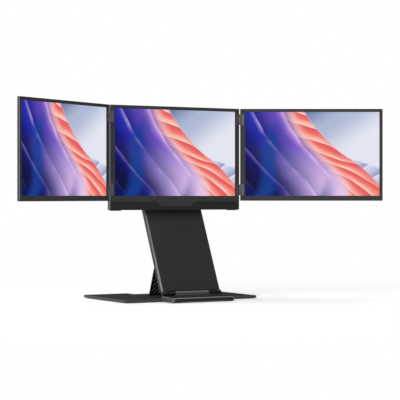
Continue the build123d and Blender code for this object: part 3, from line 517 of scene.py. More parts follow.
class Shader(Graph):
    """A material under construction."""

    def __init__(self, name):
        self.material = bpy.data.materials.new(name)
        self.material.use_nodes = True
        super().__init__(self.material.node_tree)
        self.surface = self.node("BsdfPrincipled")
        self.output = self.node("OutputMaterial", {"Surface": self.surface})

    def set(self, **values):
        """Feed the surface's sockets."""
        for key, value in values.items():
            self.feed(self.surface.inputs[key.replace("_", " ")], value)

    def place(self, scale=(1, 1, 1), turn=(0, 0, 0)):
        """Coordinates of the piece, scaled and turned."""
        where = self.node("TexCoord").outputs["Object"]
        return self.node("Mapping", {"Vector": where, "Scale": scale, "Rotation": turn})

    def noise(self, scale, detail=3.0, roughness=0.55, where=None):
        """Noise over the piece, or over other coordinates."""
        sockets = {
            "Vector": where or self.place(), "Scale": scale, "Detail": detail,
            "Roughness": roughness,
        }
        return Number(self, self.node("TexNoise", sockets).outputs[0])

    def ramp(self, value, stops, interpolation="EASE"):
        """Colour ramp; stops are positions with their colours."""
        node = self.node("ValToRGB", {"Fac": value})
        ramp = node.color_ramp
        while len(ramp.elements) < len(stops):
            ramp.elements.new(0.5)
        for element, (position, tint) in zip(ramp.elements, stops):
            element.position = position
            element.color = (*tint, 1.0)
        ramp.interpolation = interpolation
        return node.outputs["Color"]

    def shades(self, value, base, dark, light, start=0.3, end=0.7):
        """Colour ramp from a darker to a lighter tone of a colour."""
        return self.ramp(value, [(start, tone(base, dark)), (end, tone(base, light))])

    def mix(self, factor, first, second, blend="MIX"):
        """Mix two colours; the node numbers its colour sockets 6, 7 and 2."""
        sockets = {0: factor, 6: first, 7: second}
        return self.node("Mix", sockets, data_type="RGBA", blend_type=blend).outputs[2]

    def bump(self, height, distance):
        self.set(Normal=self.node("Bump", {"Height": height, "Distance": distance}))


def tone(base, factor):
    """A colour made lighter or darker."""
    return tuple(min(1.0, channel * factor) for channel in base)


def moulded(shader, base, grain, roughness, specular):
    """Moulded plastic with a fine spark-eroded grain and a faint flow mottle."""
    flow = shader.noise(14.0, 2.0)
    spark = shader.noise(1000.0 / grain, 2.0, 0.6)
    rubbed = shader.noise(45.0, 4.0, 0.65)
    shader.set(
        Base_Color=shader.shades(flow * 0.6 + spark * 0.4, base, 0.86, 1.14),
        Roughness=roughness - 0.05 + rubbed * 0.12 + spark * 0.05, Specular_IOR_Level=specular,
    )
    shader.bump(spark, 0.02 * MM)


def coated(shader, base, grain, roughness, metallic, specular=0.4):
    """Coated or anodised metal: a fine bead-blasted sparkle under a thin even coat."""
    blast = shader.noise(1000.0 / grain, 2.0, 0.7)
    cloud = shader.noise(9.0, 2.0, 0.5)
    handled = shader.noise(32.0, 5.0, 0.7)
    shader.set(
        Base_Color=shader.shades(blast * 0.55 + cloud * 0.45, base, 0.85, 1.17),
        Roughness=roughness - 0.06 + handled * 0.10 + blast * 0.05, Metallic=metallic,
        Specular_IOR_Level=specular,
    )
    shader.bump(blast, 0.012 * MM)


def turned_steel(shader, base, roughness=0.25):
    """Bright steel with fine drawn lines."""
    lines = shader.noise(420.0, 3.0, 0.6, shader.place(scale=(1.0, 14.0, 14.0)))
    spots = shader.noise(260.0, 3.0, 0.6)
    tint = shader.shades(lines * 0.7 + spots * 0.3, base, 0.8, 1.15, end=0.72)
    shader.set(Base_Color=tint, Metallic=1.0, Roughness=roughness - 0.05 + lines * 0.14)
    shader.bump(lines, 0.01 * MM)


def soft_rubber(shader, base):
    """Matt rubber with a pebbled skin and a little dust in it."""
    cells = shader.node(
        "TexVoronoi", {"Vector": shader.place(), "Scale": 900.0}, feature="SMOOTH_F1"
    )
    pebble = Number(shader, cells.outputs["Distance"])
    dust = shader.noise(60.0, 5.0, 0.7)
    tint = shader.shades(dust * 0.7 + pebble * 0.3, base, 1.0, 2.1, end=0.75)
    shader.set(Base_Color=tint, Roughness=0.78 + dust * 0.15, Specular_IOR_Level=0.25)
    shader.bump(pebble, 0.05 * MM)


def circuit_board(shader, base):
    """Solder-masked board with pale traces."""
    tiles = shader.node(
        "TexBrick",
        {"Vector": shader.place(turn=(radians(90), 0, 0)), "Scale": 60.0, "Mortar Size": 0.03,
         "Brick Width": 0.9, "Row Height": 0.22},
        offset=0.37,
    )
    trace = Number(shader, tiles.outputs["Fac"])
    grain = shader.noise(300.0)
    tint = shader.mix(trace * 0.6, shader.shades(grain, base, 0.8, 1.0), tone(base, 2.0))
    shader.set(Base_Color=tint, Roughness=0.35 + grain * 0.15)
    shader.bump(trace, 0.03 * MM)


def diffuser(shader, base):
    """Milky film with a fine dot pattern."""
    dots = shader.node("TexVoronoi", {"Vector": shader.place(), "Scale": 700.0})
    dot = Number(shader, dots.outputs["Distance"])
    tint = shader.shades(dot, base, 0.85, 1.0, 0.1, 0.6)
    shader.set(Base_Color=tint, Roughness=0.5 + dot * 0.2)


def unlit_mask(shader, base):
    """Black border of a picture under matt glass."""
    grain = shader.noise(3200.0, 2.0)
    tint = shader.shades(grain, base, 0.8, 1.3)
    shader.set(Base_Color=tint, Roughness=0.32 + grain * 0.08, Specular_IOR_Level=0.3)


def picture(shader, mask):
    """Lit picture of overlapping silk waves, from navy through violet and coral to pale grey."""
    ramp, mix = shader.ramp, shader.mix
    uv = shader.node("UVMap", uv_map="picture")
    parts = shader.node("SeparateXYZ", {"Vector": uv})
    across, up = Number(shader, parts.outputs[0]), Number(shader, parts.outputs[1])
    drift = shader.noise(1.6, 2.0, 0.5, uv)

    # a long crest swings from the upper middle to the lower right
    crest = 0.62 - (up - 0.5) * 0.40 + (up * 5.2 + 0.6).sine() * 0.045
    off = across - crest + (drift - 0.5) * 0.10

    field = ramp(
        (off + 0.75).clamped(),
        [(0.05, (0.001, 0.002, 0.09)), (0.24, (0.003, 0.006, 0.22)), (0.42, (0.018, 0.022, 0.40)),
         (0.55, (0.12, 0.065, 0.50)), (0.65, (0.42, 0.22, 0.64)), (0.71, (0.76, 0.44, 0.72)),
         (0.75, (0.90, 0.60, 0.70))],
    )
    # a pale violet pool low in the middle
    pool = (1.0 - up.step(0.05, 0.70)) * off.step(-0.62, -0.14)
    field = mix(pool * 0.9, field, (0.80, 0.58, 0.86))
    # broad waves: each one is bright on its crest and falls into the next one's shade
    wave = off * 4.6 + (up * 3.1 + drift * 2.4).sine() * 0.42 + up * 0.9
    fold = wave.fraction()
    near = off.step(-0.75, -0.1)
    calm = near * 0.25 + pool * 0.3
    shade = fold.step(0.0, 0.9) * (0.55 - calm) + 0.45 + calm
    glint = fold.step(0.80, 0.97) * (1.0 - fold.step(0.97, 1.0))
    folded = mix(
        1.0, field, ramp(shade, [(0.0, (0, 0, 0)), (1.0, (1, 1, 1))], "LINEAR"), "MULTIPLY"
    )
    beam = (off * 2.1 - up * 1.7 + (up * 2.0).sine() * 0.3).fraction()
    streak = beam.step(0.30, 0.46) * (1.0 - beam.step(0.52, 0.70)) * (1.0 - off.step(-0.34, -0.08))
    folded = mix(streak * 0.8, folded, (0.003, 0.045, 0.30))
    patchy = shader.noise(3.4, 2.0, 0.5, uv).step(0.36, 0.62)
    folded = mix(glint * (near * 0.45 + 0.05) * patchy, folded, (0.78, 0.62, 0.92))

    # coral ribbons along the crest, each fading from peach to red
    lap = (up * 6.0 + off * 6.5 + (across * 6.0).sine() * 0.25 + drift * 2.2).fraction()
    coral = ramp(
        lap, [(0.0, (0.95, 0.55, 0.42)), (0.35, (0.92, 0.30, 0.24)), (0.8, (0.80, 0.075, 0.085)),
              (1.0, (0.55, 0.05, 0.10))],
    )
    sheen = ramp(
        off.step(-0.10, 0.02), [(0.0, (1.0, 0.80, 0.72)), (1.0, (0.86, 0.16, 0.14))]
    )
    coral = mix(0.45, coral, sheen)
    width = 0.035 + (1.0 - up) * (1.0 - up * 0.4) * 0.20
    lit = (off - width * 0.25).size().step(0.10, 0.0) * lap.step(0.55, 0.1)
    coral = mix(lit * 0.55, coral, (1.0, 0.80, 0.66))
    band = off.step(-0.13, -0.03) * (1.0 - (off - width).step(-0.010, 0.010))
    painted = mix(band, folded, coral)

    # pale sky beyond the crest with grey-blue swells low down
    sky = ramp(
        (across * 0.55 + (1.0 - up) * 0.5).clamped(),
        [(0.24, (0.14, 0.20, 0.38)), (0.42, (0.42, 0.48, 0.66)), (0.66, (0.76, 0.78, 0.88))],
    )
    swell = (up * 9.0 - off * 5.0 + drift * 1.5).fraction()
    low = ramp(
        swell, [(0.0, (0.20, 0.24, 0.45)), (0.6, (0.50, 0.54, 0.76)), (1.0, (0.72, 0.74, 0.90))]
    )
    shore = 1.0 - (up - 0.52 + off * 0.7).step(-0.015, 0.03)
    sky = mix(shore * 0.8, sky, low)
    painted = mix((off - width).step(-0.012, 0.012), painted, sky)

    shader.set(
        Base_Color=mask, Roughness=0.42, Specular_IOR_Level=0.04, Emission_Color=painted,
        Emission_Strength=1.0,
    )


# each finish: its maker, its colour in the settings, and for plastic the grain in mm, roughness
# and specular level; for coated metal the grain, roughness, metallic and specular level
FINISHES = {
    "frame_plastic": (moulded, "bezel", 0.45, 0.52, 0.3),
    "chin_plastic": (moulded, "chin", 0.3, 0.42, 0.32),
    "foot_plastic": (moulded, "foot", 0.5, 0.58, 0.2),
    "button_plastic": (moulded, "foot", 0.3, 0.4, 0.35),
    "speaker_plastic": (moulded, "rubber", 0.6, 0.6, 0.3),
    "shell_metal": (coated, "shell", 0.3, 0.42, 0.75),
    "column_metal": (coated, "column", 0.3, 0.48, 0.3),
    "cut_edge": (coated, "cut_edge", 0.2, 0.36, 0.6),
    "base_metal": (coated, "base", 0.4, 0.62, 0.0, 0.12),
    # painted light: the next three finishes give walls, rims and rib tops lighter tones than their
    # pieces' own coats, standing in for the light those faces catch
    "edge_metal": (coated, "edge_metal", 0.3, 0.5, 0.05, 0.16),
    "rim_metal": (coated, "rim", 0.25, 0.4, 0.4),
    "rib_metal": (coated, "rib", 0.2, 0.4, 0.4),
    "hinge_metal": (coated, "hinge", 0.25, 0.4, 0.4),
    "leaf_metal": (coated, "leaf", 0.25, 0.38, 0.6),
    "brace_metal": (coated, "brace", 0.3, 0.5, 0.25),
    "steel": (turned_steel, "steel"),
    "black_steel": (coated, "hinge", 0.2, 0.4, 0.6),
    "port_metal": (turned_steel, "port", 0.3),
    "rubber": (soft_rubber, "rubber"),
    "board": (circuit_board, "board"),
    "film": (diffuser, "film"),
    "mask": (unlit_mask, "mask"),
    "picture": (picture, "mask"),
}
MADE = {}


def finish(kind):
    """The finish of that name in the chosen colours, built once."""
    if kind not in MADE:
        maker, tint, *values = FINISHES[kind]
        shader = Shader(kind)
        maker(shader, tuple(getattr(sizes("screen_finishes"), tint)), *values)
        MADE[kind] = shader.material
    return MADE[kind]


# --- operators
class Step(bpy.types.Operator):
    """A step of the build."""

    bl_options = {"REGISTER", "UNDO"}

    def execute(self, context):
        self.build()
        return {"FINISHED"}


PAPER_FADE = (0.35, 1.1)  # metres from the object's middle
BRIGHT_SIDE = (-0.70, -0.25, 0.67)
ROOM_LIGHT = (0.03, 0.75)  # on the dark and the bright side


class TRIPLE_OT_stage(Step):
    """Floor, lights, background and camera"""

    bl_idname = "triple.stage"
    bl_label = "Stage"

    def build(self):
        self.floor()
        self.world()
        self.lights()
        self.camera()

    def floor(self):
        """Pale paper that the camera sees fade into plain white away from the object."""
        deselect()
        bpy.ops.mesh.primitive_plane_add(size=60, location=(0, 0, -0.5 * MM))
        floor = named("floor")
        shader = Shader("floor_paper")
        grain = shader.noise(30.0)
        shader.set(
            Base_Color=shader.ramp(grain, [(0.3, (0.86, 0.86, 0.86)), (0.7, (0.88, 0.88, 0.88))]),
            Roughness=0.9, Specular_IOR_Level=0.1,
        )
        paper = shader.surface
        where = shader.node("TexCoord").outputs["Object"]
        away = shader.node("VectorMath", {0: where}, operation="LENGTH").outputs["Value"]
        white, glow = (
            shader.node("Emission", {"Color": (1, 1, 1), "Strength": strength})
            for strength in (1.0, 0.12)
        )
        lit = shader.node("AddShader", {0: paper, 1: glow})
        faded = shader.blend(shader.rise(away, *PAPER_FADE), lit, white)
        to_camera = shader.node("LightPath").outputs["Is Camera Ray"]
        seen = shader.blend(to_camera, paper, faded)
        shader.feed(shader.output.inputs["Surface"], seen)
        floor.data.materials.append(shader.material)

    def world(self):
        """White where the camera looks; for the object a room, bright overhead and to the left."""
        scene = bpy.context.scene
        scene.world = bpy.data.worlds.new("studio")
        scene.world.use_nodes = True
        graph = Graph(scene.world.node_tree)
        rays = graph.node("LightPath").outputs
        seen = graph.node(
            "Math", {0: rays["Is Camera Ray"], 1: rays["Is Transmission Ray"]}, operation="MAXIMUM"
        )
        where = graph.node("TexCoord").outputs["Generated"]
        bright_side = Vector(BRIGHT_SIDE).normalized()
        towards = graph.node("VectorMath", {0: where, 1: bright_side}, operation="DOT_PRODUCT")
        level = graph.rise(towards.outputs["Value"], -0.5, 0.9, *ROOM_LIGHT)
        room = graph.node("Background", {"Color": (0.96, 0.98, 1.0), "Strength": level})
        white = graph.node("Background", {"Color": (1, 1, 1), "Strength": 1.0})
        graph.node("OutputWorld", {"Surface": graph.blend(seen, room, white)})
        scene.view_settings.view_transform = "Standard"

    def lights(self):
        """Square softboxes, all aimed at the stand's middle."""
        for name, place, size, power in (
            ("left_softbox", (-1.9, -0.7, 1.45), 1.3, 29.0),
            ("rear_left_softbox", (-1.2, 1.9, 0.6), 1.2, 8.0),
            ("top_softbox", (0.9, 0.1, 1.9), 1.2, 16.0),
            ("front_softbox", (-1.5, -2.3, 0.75), 1.4, 7.0),
        ):
            bpy.ops.object.light_add(type="AREA", location=place)
            lamp = bpy.context.object
            lamp.name = name
            lamp.data.shape = "SQUARE"
            lamp.data.size = size
            lamp.data.energy = power
            aim = Vector((0, 0, 0.2)) - Vector(place)
            lamp.rotation_euler = aim.to_track_quat("-Z", "Y").to_euler()

    def camera(self):
        bpy.ops.object.camera_add(
            location=(-1.6206, -2.9383, 0.22577), rotation=(pi / 2, 0, -radians(30.03))
        )
        camera = bpy.context.object
        camera.data.lens = 136.51
        camera.data.sensor_width = 36
        camera.data.shift_x = -0.001
        camera.data.shift_y = -0.0103
        camera.data.clip_end = 100
        bpy.context.scene.camera = camera


class TRIPLE_OT_base(Step):
    """Base plate with the brace's track, and its mat"""

    bl_idname = "triple.base"
    bl_label = "Base plate"

    def build(self):
        size = sizes("screen_base")
        low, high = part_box("base_plate")
        outline = rounded((low.x, high.x), (low.y, high.y), size.plate_corner)
        plate = prism("base_slab", outline, low.z, high.z)
        paint(plate, "base_metal")
        # painted light: the walls take a lighter tone of the coat than the top, standing in for the
        # side light
        paint(plate, "edge_metal", lambda face: abs(face.normal.z) < 0.5)
        edge_bevel(
            plate, lambda a, b: min(a.z, b.z) > high.z - TINY, size.plate_edge, 4, profile=0.6
        )
        track = block(
            "track", (-size.track_half, 0.5 * MM, high.z - size.track_depth),
            (size.track_half, high.y + MM, high.z + MM),
        )
        holes = []
        for x, y in FOOT_SCREWS:
            middle = (x, y, SHANK_DEPTH / 2)
            holes.append(rod("screw_hole", (x, y, low.z), HEAD_HOLE, 2 * HEAD_DEPTH, "Z", 24))
            holes.append(rod("shank_hole", middle, SHANK_HOLE, SHANK_DEPTH, "Z", 24))
        carve(plate, track, *holes)
        soften(plate, size.edge, 2, 40)
        fit(plate, "base", "base_metal", "base_plate")
        fit_copy("base_mat", "base", "rubber", 0.3)


class TRIPLE_OT_foot(Step):
    """Front foot with its pads, cover, weight and screws"""

    bl_idname = "triple.foot"
    bl_label = "Front foot"

    def build(self):
        size = sizes("screen_base")
        low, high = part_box("foot_housing")
        plate_front, plate_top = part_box("base_plate")[0].y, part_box("base_plate")[1].z
        rear, ledge = plate_front - SLIT, plate_front + size.foot_ledge
        profile = [
            (low.y, low.z), (rear, low.z), (rear, plate_top), (ledge, plate_top),
            (ledge, size.foot_rear_height), (plate_front, size.foot_rear_height),
            (low.y, size.foot_front_height),
        ]
        foot = prism("foot_shell", profile, 0, high.x - low.x)
        foot.matrix_world = carrier((low.x, 0, 0), (0, 1, 0), (0, 0, 1))
        settle(foot)
        paint(foot, "foot_plastic")
        # the second finish, a painted highlight, is for the rims that the second bevel cuts
        paint(foot, "rim_metal", lambda face: False)
        # painted light: the foot's end walls take a lighter tone than its plastic, standing in for
        # the side light
        paint(foot, "edge_metal", lambda face: abs(face.normal.x) > 0.9)
        edge_bevel(
            foot, lambda a, b: max(a.y, b.y) < low.y + TINY and abs(a.x - b.x) < TINY,
            size.foot_corner,
        )
        edge_bevel(foot, lambda a, b: min(a.y, b.y) < plate_front - MM, size.foot_rim, slot=1)
        inner = high.x - FOOT_WALL
        hollow = block(
            "hollow", (-inner, low.y + FOOT_WALL, 0), (inner, rear - FOOT_WALL, FOOT_HOLLOW_TOP)
        )
        carve(foot, hollow)
        across, ahead, up = STUD
        seats = [
            rod("stud_seat", (side * across, plate_front - ahead, up), STUD_HOLE, STUD_DEPTH)
            for side in SIDES
        ]
        seats += [
            rod("thread", (x, y, SHANK_DEPTH), SHANK_HOLE, THREAD_DEPTH, "Z", 24)
            for x, y in FOOT_SCREWS
        ]
        carve(foot, *seats)
        fit(foot, "base", "foot_plastic", "foot_housing")
        fit_copy("foot_pads", "base", "rubber", 0.3)
        dress("foot_plastic", "foot_bottom_cover")
        dress("shell_metal", "foot_weight")
        fit_copy("foot_screws", "base", "steel", 0.15)


class TRIPLE_OT_stand_hinges(Step):
    """Hinges at the column's lower and upper ends"""

    bl_idname = "triple.stand_hinges"
    bl_label = "Stand hinges"

    def build(self):
        for node, body, kind, width in (
            ("friction_packs", "base", "hinge_metal", 0.25),
            ("lower_hinge_lugs", "column", "hinge_metal", 0.35),
            ("upper_hinge_lugs", "column", "hinge_metal", 0.35),
            ("tilt_hinge_bracket", "centre_screen", "hinge_metal", 0.4),
            ("lower_hinge_block", "base", "leaf_metal", 0.4),
        ):
            fit_copy(node, body, kind, width)
        for node, body in (
            ("lower_hinge_pin", "base"), ("tilt_hinge_pin", "column"),
            ("brace_hinge_pin", "column"), ("tilt_bracket_screws", "centre_screen"),
        ):
            fit_copy(node, body, "black_steel", 0.2)


class TRIPLE_OT_column(Step):
    """Column with its back cover, ports, buttons, boards and screws"""

    bl_idname = "triple.column"
    bl_label = "Column"

    def build(self):
        self.shell()
        fit_copy("column_back_cover", "column", "column_metal", 0.3)
        fit_copy("column_screws", "column", "steel", 0.12)
        for node in ("usb_c_ports", "hdmi_ports"):
            fit_copy(node, "column", "port_metal", 0.12)
        for node in ("power_button", "brightness_up_button", "brightness_down_button"):
            fit_copy(node, node, "button_plastic", 0.15)
        dress("board", "hub_board", "control_board")

    def shell(self):
        """Tray with cut front edges, open behind, with the ports and buttons cut through."""
        size = sizes("screen_column")
        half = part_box("column_front_shell")[1].x
        start, end, cut, wall = size.start, size.end, size.chamfer, size.front_wall
        section = [
            (-half, -size.back), (half, -size.back), (half, size.front - cut),
            (half - cut, size.front), (cut - half, size.front), (-half, size.front - cut),
        ]
        shell = prism("column_shell", section, -end, -start)
        inner, face, open_back = half - size.side_wall, size.front - wall, -size.back - MM
        paint(shell, "column_metal")
        paint(shell, "cut_edge", lambda face: abs(face.normal.x) > 0.5 and face.normal.y > 0.5)
        hollow = block("hollow", (-inner, open_back, wall - end), (inner, face, -start - wall))
        carve(shell, hollow)
        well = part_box("brace_plate")[1].x + WELL_GAP
        low, high = (-well, open_back, -end - MM), (well, -WELL_FLOOR, WELL_NOTCH - end)
        cutters = [block("well_notch", low, high)]
        for side in SIDES:
            for a, b, from_s, to_s in LUG_NOTCHES:
                low, high = sorted((side * a * MM, side * b * MM))
                cutters.append(
                    block("lug_notch", (low, open_back, -to_s * MM), (high, face, -from_s * MM))
                )
        for side, width, height, middle, places in OPENINGS:
            low, high = sorted((side * (half - 4 * MM), side * (half + 2 * MM)))
            for place in places:
                opening = block(
                    "opening", (low, (middle - height / 2) * MM, -(place + width / 2) * MM),
                    (high, (middle + height / 2) * MM, -(place - width / 2) * MM),
                )
                cutters.append(soften(opening, height * OPENING_CORNER * MM, 4))
        carve(shell, *cutters)
        soften(shell, size.edge, 2, 28)
        fit(shell, "column", "column_metal", "column_front_shell", place=COLUMN)


class TRIPLE_OT_brace(Step):
    """Rear brace with its slanting ribs, foot and screws"""

    bl_idname = "triple.brace"
    bl_label = "Brace"

    def build(self):
        size = sizes("screen_brace")
        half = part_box("brace_plate")[1].x
        thick = size.thickness / 2
        floor = thick - size.recess
        low = (size.frame - half, size.frame + size.knuckle)
        high = (half - size.frame, size.length - size.frame)
        end = size.length - MM  # the pad covers the rest
        plate = block("brace_sheet", (-half, 0, -thick), (half, end, thick))
        merge(plate, rod("knuckle", (0, 0, 0), size.knuckle, 2 * half, "X"))
        carve(
            plate,
            block("window", (*low, floor), (*high, thick + MM)),
            rod("bore", (0, 0, 0), BRACE_BORE, 2 * half + MM, "X", 24),
        )
        soften(plate, 0.2 * MM, 2, 40)
        merge(plate, self.ribs(size, low, high, floor))
        for side in SIDES:
            x, y = side * half * BOSS_ACROSS, size.length * BOSS_ALONG
            depth = 2 * thick - size.recess
            merge(
                plate,
                rod("boss", (x, y, floor / 2 - 0.1 * MM), BOSS, depth, "Z", 32),
                rod("boss_top", (x, y, thick - 0.6 * MM), BOSS, 1.19 * MM, "Z", 32),
            )
            carve(plate, rod("shank_hole", (x, y, thick), BOSS_HOLE, 4.4 * MM, "Z", 24))
        rib_top = floor + size.rib_height
        paint(plate, "brace_metal")
        # painted highlight: the rib tops take a light tone, standing in for the light they catch in
        # the brace's shade
        paint(
            plate, "rib_metal",
            lambda face: face.normal.z > 0.9 and abs(face.center.z - rib_top) < 0.02 * MM,
        )
        # from the hinge down to the foot on the base
        pin = pin_of("brace_swing")
        run = sum(corner.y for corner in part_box("brace_foot_pad")) / 2 - pin.y
        drop = -(size.length**2 - run**2) ** 0.5
        place = carrier(pin, (-1, 0, 0), Vector((0, run, drop)).normalized())
        fit(plate, "brace", "brace_metal", "brace_plate", place=place)
        fit_copy("brace_foot_pad", "brace", "rubber", 0.2)
        fit_copy("brace_screws", "brace", "steel", 0.15)

    def ribs(self, size, low, high, floor):
        """Slanting bars, cut to the window in the sheet."""
        lap = 0.1 * MM
        wide, tall = high[0] - low[0], high[1] - low[1]
        step = size.rib_pitch / cos(size.rib_slant)
        overrun = tall / 2 * sin(size.rib_slant) / cos(size.rib_slant) + step
        bars = block(
            "brace_ribs", (-size.rib_width / 2, -tall, floor - lap),
            (size.rib_width / 2, tall, floor + size.rib_height),
        )
        bars.rotation_euler.z = -size.rib_slant
        bars.location = (low[0] - overrun, (low[1] + high[1]) / 2, 0)
        settle(bars)
        modify(
            bars, "ARRAY", count=int((wide + 2 * overrun) / step) + 1,
            use_relative_offset=False, use_constant_offset=True,
            constant_offset_displace=(step, 0, 0),
        )
        room = block(
            "room", (low[0] - lap, low[1] - lap, -MM), (high[0] + lap, high[1] + lap, 3 * MM)
        )
        combine(bars, "INTERSECT", room)
        return bars


def leaf_rooms(place_x, depth, reach):
    """Cutters for the hinge leaves and their knuckles, in a screen's own frame."""
    rooms = []
    near, far = sorted(reach)
    for middle in LEAF_Z:
        low, high = middle - LEAF_HALF, middle + LEAF_HALF
        rooms.append(block("leaf_room", (near, low, -DEEP), (far, high, PROUD)))
        rooms.append(rod("knuckle_room", (place_x, middle, depth), KNUCKLE_ROOM, high - low, "Y"))
    return rooms


def cut_frame(word, bezel, window_x, window_y, rooms, place):
    """Cut the picture's window and the hinges' rooms into a screen's frame."""
    low, high = zip(window_x, window_y)
    carve(bezel, block("window", (*low, -DEEP), (*high, DEEP)), *rooms)
    soften(bezel, sizes("screen_panels").edge, 3, 25)
    fit(bezel, f"{word}_screen", "frame_plastic", f"{word}_bezel", place)


def set_display(word, window_x, window_y, place):
    """Display panel: an unlit border inset round the lit picture, with its own UV map."""
    size = sizes("screen_panels")
    lows = [span[0] - size.lap for span in (window_x, window_y)]
    highs = [span[1] + size.lap for span in (window_x, window_y)]
    back = -size.bezel - DISPLAY_DEPTH
    panel = block(f"{word}_display", (*lows, back), (*highs, -size.bezel))
    panel.data.materials.append(finish("mask"))
    panel.data.materials.append(finish("picture"))
    edit(panel, "DESELECT")
    mode("OBJECT")
    for face in panel.data.polygons:
        face.select = face.normal.z > 0.9
    mode("EDIT")
    bpy.ops.mesh.select_mode(type="FACE")
    bpy.ops.mesh.inset(thickness=size.lap)
    panel.active_material_index = 1
    bpy.ops.object.material_slot_assign()
    mode("OBJECT")
    chart = panel.data.uv_layers.get("picture") or panel.data.uv_layers.new(name="picture")
    for loop in panel.data.loops:
        point = panel.data.vertices[loop.vertex_index].co
        chart.data[loop.index].uv = [
            (value - low) / (high - low) for value, low, high in zip(point, lows, highs)
        ]
    fit(panel, f"{word}_screen", "mask", f"{word}_display_panel", place)


class TRIPLE_OT_centre_screen(Step):
    """Centre screen: frame, lower cover, back, display and inner parts"""

    bl_idname = "triple.centre_screen"
    bl_label = "Centre screen"

    def build(self):
        size = sizes("screen_panels")
        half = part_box("centre_bezel")[1].x
        chin_top = SCREEN_LOW + size.chin_height
        tab_low = chin_top - size.tab_drop
        upper = rounded((-half, half), (chin_top, SCREEN_TOP), size.corner, 0)
        tab = [
            (-size.tab_top / 2, chin_top), (-size.tab_bottom / 2, tab_low),
            (size.tab_bottom / 2, tab_low), (size.tab_top / 2, chin_top),
        ]
        bezel = prism("centre_frame", upper[:-1] + tab + upper[-1:], -size.bezel, 0)
        window_x = (-size.display_width / 2, size.display_width / 2)
        sill = SCREEN_LOW + size.display_above_chin
        window_y = (sill, sill + size.display_height)
        rooms = []
        for side in SIDES:
            edge = SEAM_X[side] - CENTRE_EDGE[side]
            reach = side * (edge - LEAF_REACH), side * (edge + 1.0 * MM)
            rooms += leaf_rooms(side * SEAM_X[side], SEAM_PROUD[side], reach)
        cut_frame("centre", bezel, window_x, window_y, rooms, CENTRE)
        self.chin(size, half, chin_top, tab_low)
        set_display("centre", window_x, window_y, CENTRE)
        fit_copy("centre_back_shell", "centre_screen", "shell_metal", 0.2)
        fit_copy("chin_pads", "centre_screen", "rubber", 0.3)
        fit_copy("centre_back_screws", "centre_screen", "steel", 0.12)
        dress("film", "centre_backlight")
        dress("board", "driver_board")
        dress("speaker_plastic", "speakers")

    def chin(self, size, half, chin_top, tab_low):
        """Lower cover, a step behind the frame, notched round the tab."""
        gap = 0.1 * MM
        slope = (size.tab_top - size.tab_bottom) / 2 / size.tab_drop
        edge = chin_top - SLIT
        top_half = size.tab_top / 2 + gap
        notch_low = tab_low - gap
        low_half = top_half - slope * (chin_top - notch_low)
        outline = [
            (half, edge), (top_half, edge), (low_half, notch_low), (-low_half, notch_low),
            (-top_half, edge), (-half, edge), (-half, SCREEN_LOW), (half, SCREEN_LOW),
        ]
        cover = prism("chin_cover", outline, -size.bezel, -size.chin_step)
        soften(cover, 0.25 * MM, 3, 25)
        fit(cover, "centre_screen", "chin_plastic", "centre_chin_cover", place=CENTRE)


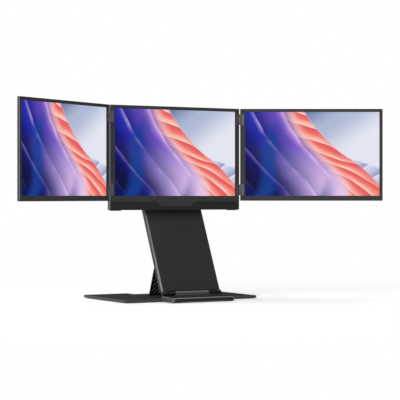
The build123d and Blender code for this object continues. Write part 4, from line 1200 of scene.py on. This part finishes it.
class TRIPLE_OT_side_screens(Step):
    """Side screens: frames, backs, displays and inner parts"""

    bl_idname = "triple.side_screens"
    bl_label = "Side screens"

    def build(self):
        for side, word in SIDES.items():
            self.screen(side, word)

    def screen(self, side, word):
        """One side screen, drawn in its own frame and turned in."""
        size = sizes("screen_panels")
        near = WING_EDGE[side]
        low = SCREEN_TOP - size.side_height
        place = wing(side)

        def span(a, b):
            return tuple(sorted((side * a, side * b)))

        lip = near - size.seam_lip if side > 0 else near
        outline = rounded(span(lip, near + size.side_length), (low, SCREEN_TOP), size.corner)
        bezel = prism(f"{word}_frame", outline, -size.bezel, 0)
        edge_bevel(bezel, lambda a, b: min(a.z, b.z) > -TINY, size.rim, 2)
        paint(bezel, "frame_plastic")
        # painted highlight: the frame's outer end wall and the outer part of its rim take a light
        # tone, standing in for the side light they catch
        paint(bezel, "rim_metal", lambda face: side * face.normal.x > 0.3)
        first, sill = near + size.side_hinge_border, low + size.side_lower_border
        window_x = span(first, first + size.display_width)
        window_y = (sill, sill + size.display_height)
        rooms = leaf_rooms(0, SEAM_PROUD[side], span(near - MM, near + LEAF_REACH))
        cut_frame(word, bezel, window_x, window_y, rooms, place)
        set_display(word, window_x, window_y, place)
        fit_copy(f"{word}_back_shell", f"{word}_screen", "shell_metal", 0.25)
        dress("film", f"{word}_backlight")
        dress("board", f"{word}_board")


class TRIPLE_OT_seam_hinges(Step):
    """Hinges between the screens"""

    bl_idname = "triple.seam_hinges"
    bl_label = "Seam hinges"

    def build(self):
        for word in SIDES.values():
            fit_copy(f"centre_{word}_leaves", "centre_screen", "leaf_metal", 0.18)
            fit_copy(f"{word}_wing_leaves", f"{word}_screen", "leaf_metal", 0.18)
            fit_copy(f"{word}_seam_pins", "centre_screen", "steel", 0.15)


STEPS = (
    TRIPLE_OT_stage, TRIPLE_OT_base, TRIPLE_OT_foot, TRIPLE_OT_stand_hinges, TRIPLE_OT_column,
    TRIPLE_OT_brace, TRIPLE_OT_centre_screen, TRIPLE_OT_side_screens, TRIPLE_OT_seam_hinges,
)
GROUPS = {
    "screen_base": BaseSizes, "screen_column": ColumnSizes, "screen_brace": BraceSizes,
    "screen_panels": ScreenSizes, "screen_finishes": Finishes,
}


class TRIPLE_PT_build(bpy.types.Panel):
    """Lists the build steps and the sizes."""

    bl_idname = "TRIPLE_PT_build"
    bl_label = "Triple Screen"
    bl_space_type = "VIEW_3D"
    bl_region_type = "UI"
    bl_category = "Triple Screen"

    def draw(self, context):
        for step in STEPS:
            self.layout.operator(step.bl_idname)
        for name, group in GROUPS.items():
            box = self.layout.box()
            for key in group.__annotations__:
                box.prop(getattr(context.scene, name), key)


def register():
    for kind in (*GROUPS.values(), *STEPS, TRIPLE_PT_build):
        bpy.utils.register_class(kind)
    for name, group in GROUPS.items():
        setattr(bpy.types.Scene, name, bpy.props.PointerProperty(type=group))


def unregister():
    for name in GROUPS:
        delattr(bpy.types.Scene, name)
    for kind in reversed((*GROUPS.values(), *STEPS, TRIPLE_PT_build)):
        bpy.utils.unregister_class(kind)


def main():
    register()
    for step in STEPS:
        group, name = step.bl_idname.split(".")
        getattr(getattr(bpy.ops, group), name)()


if __name__ == "__main__":
    main()
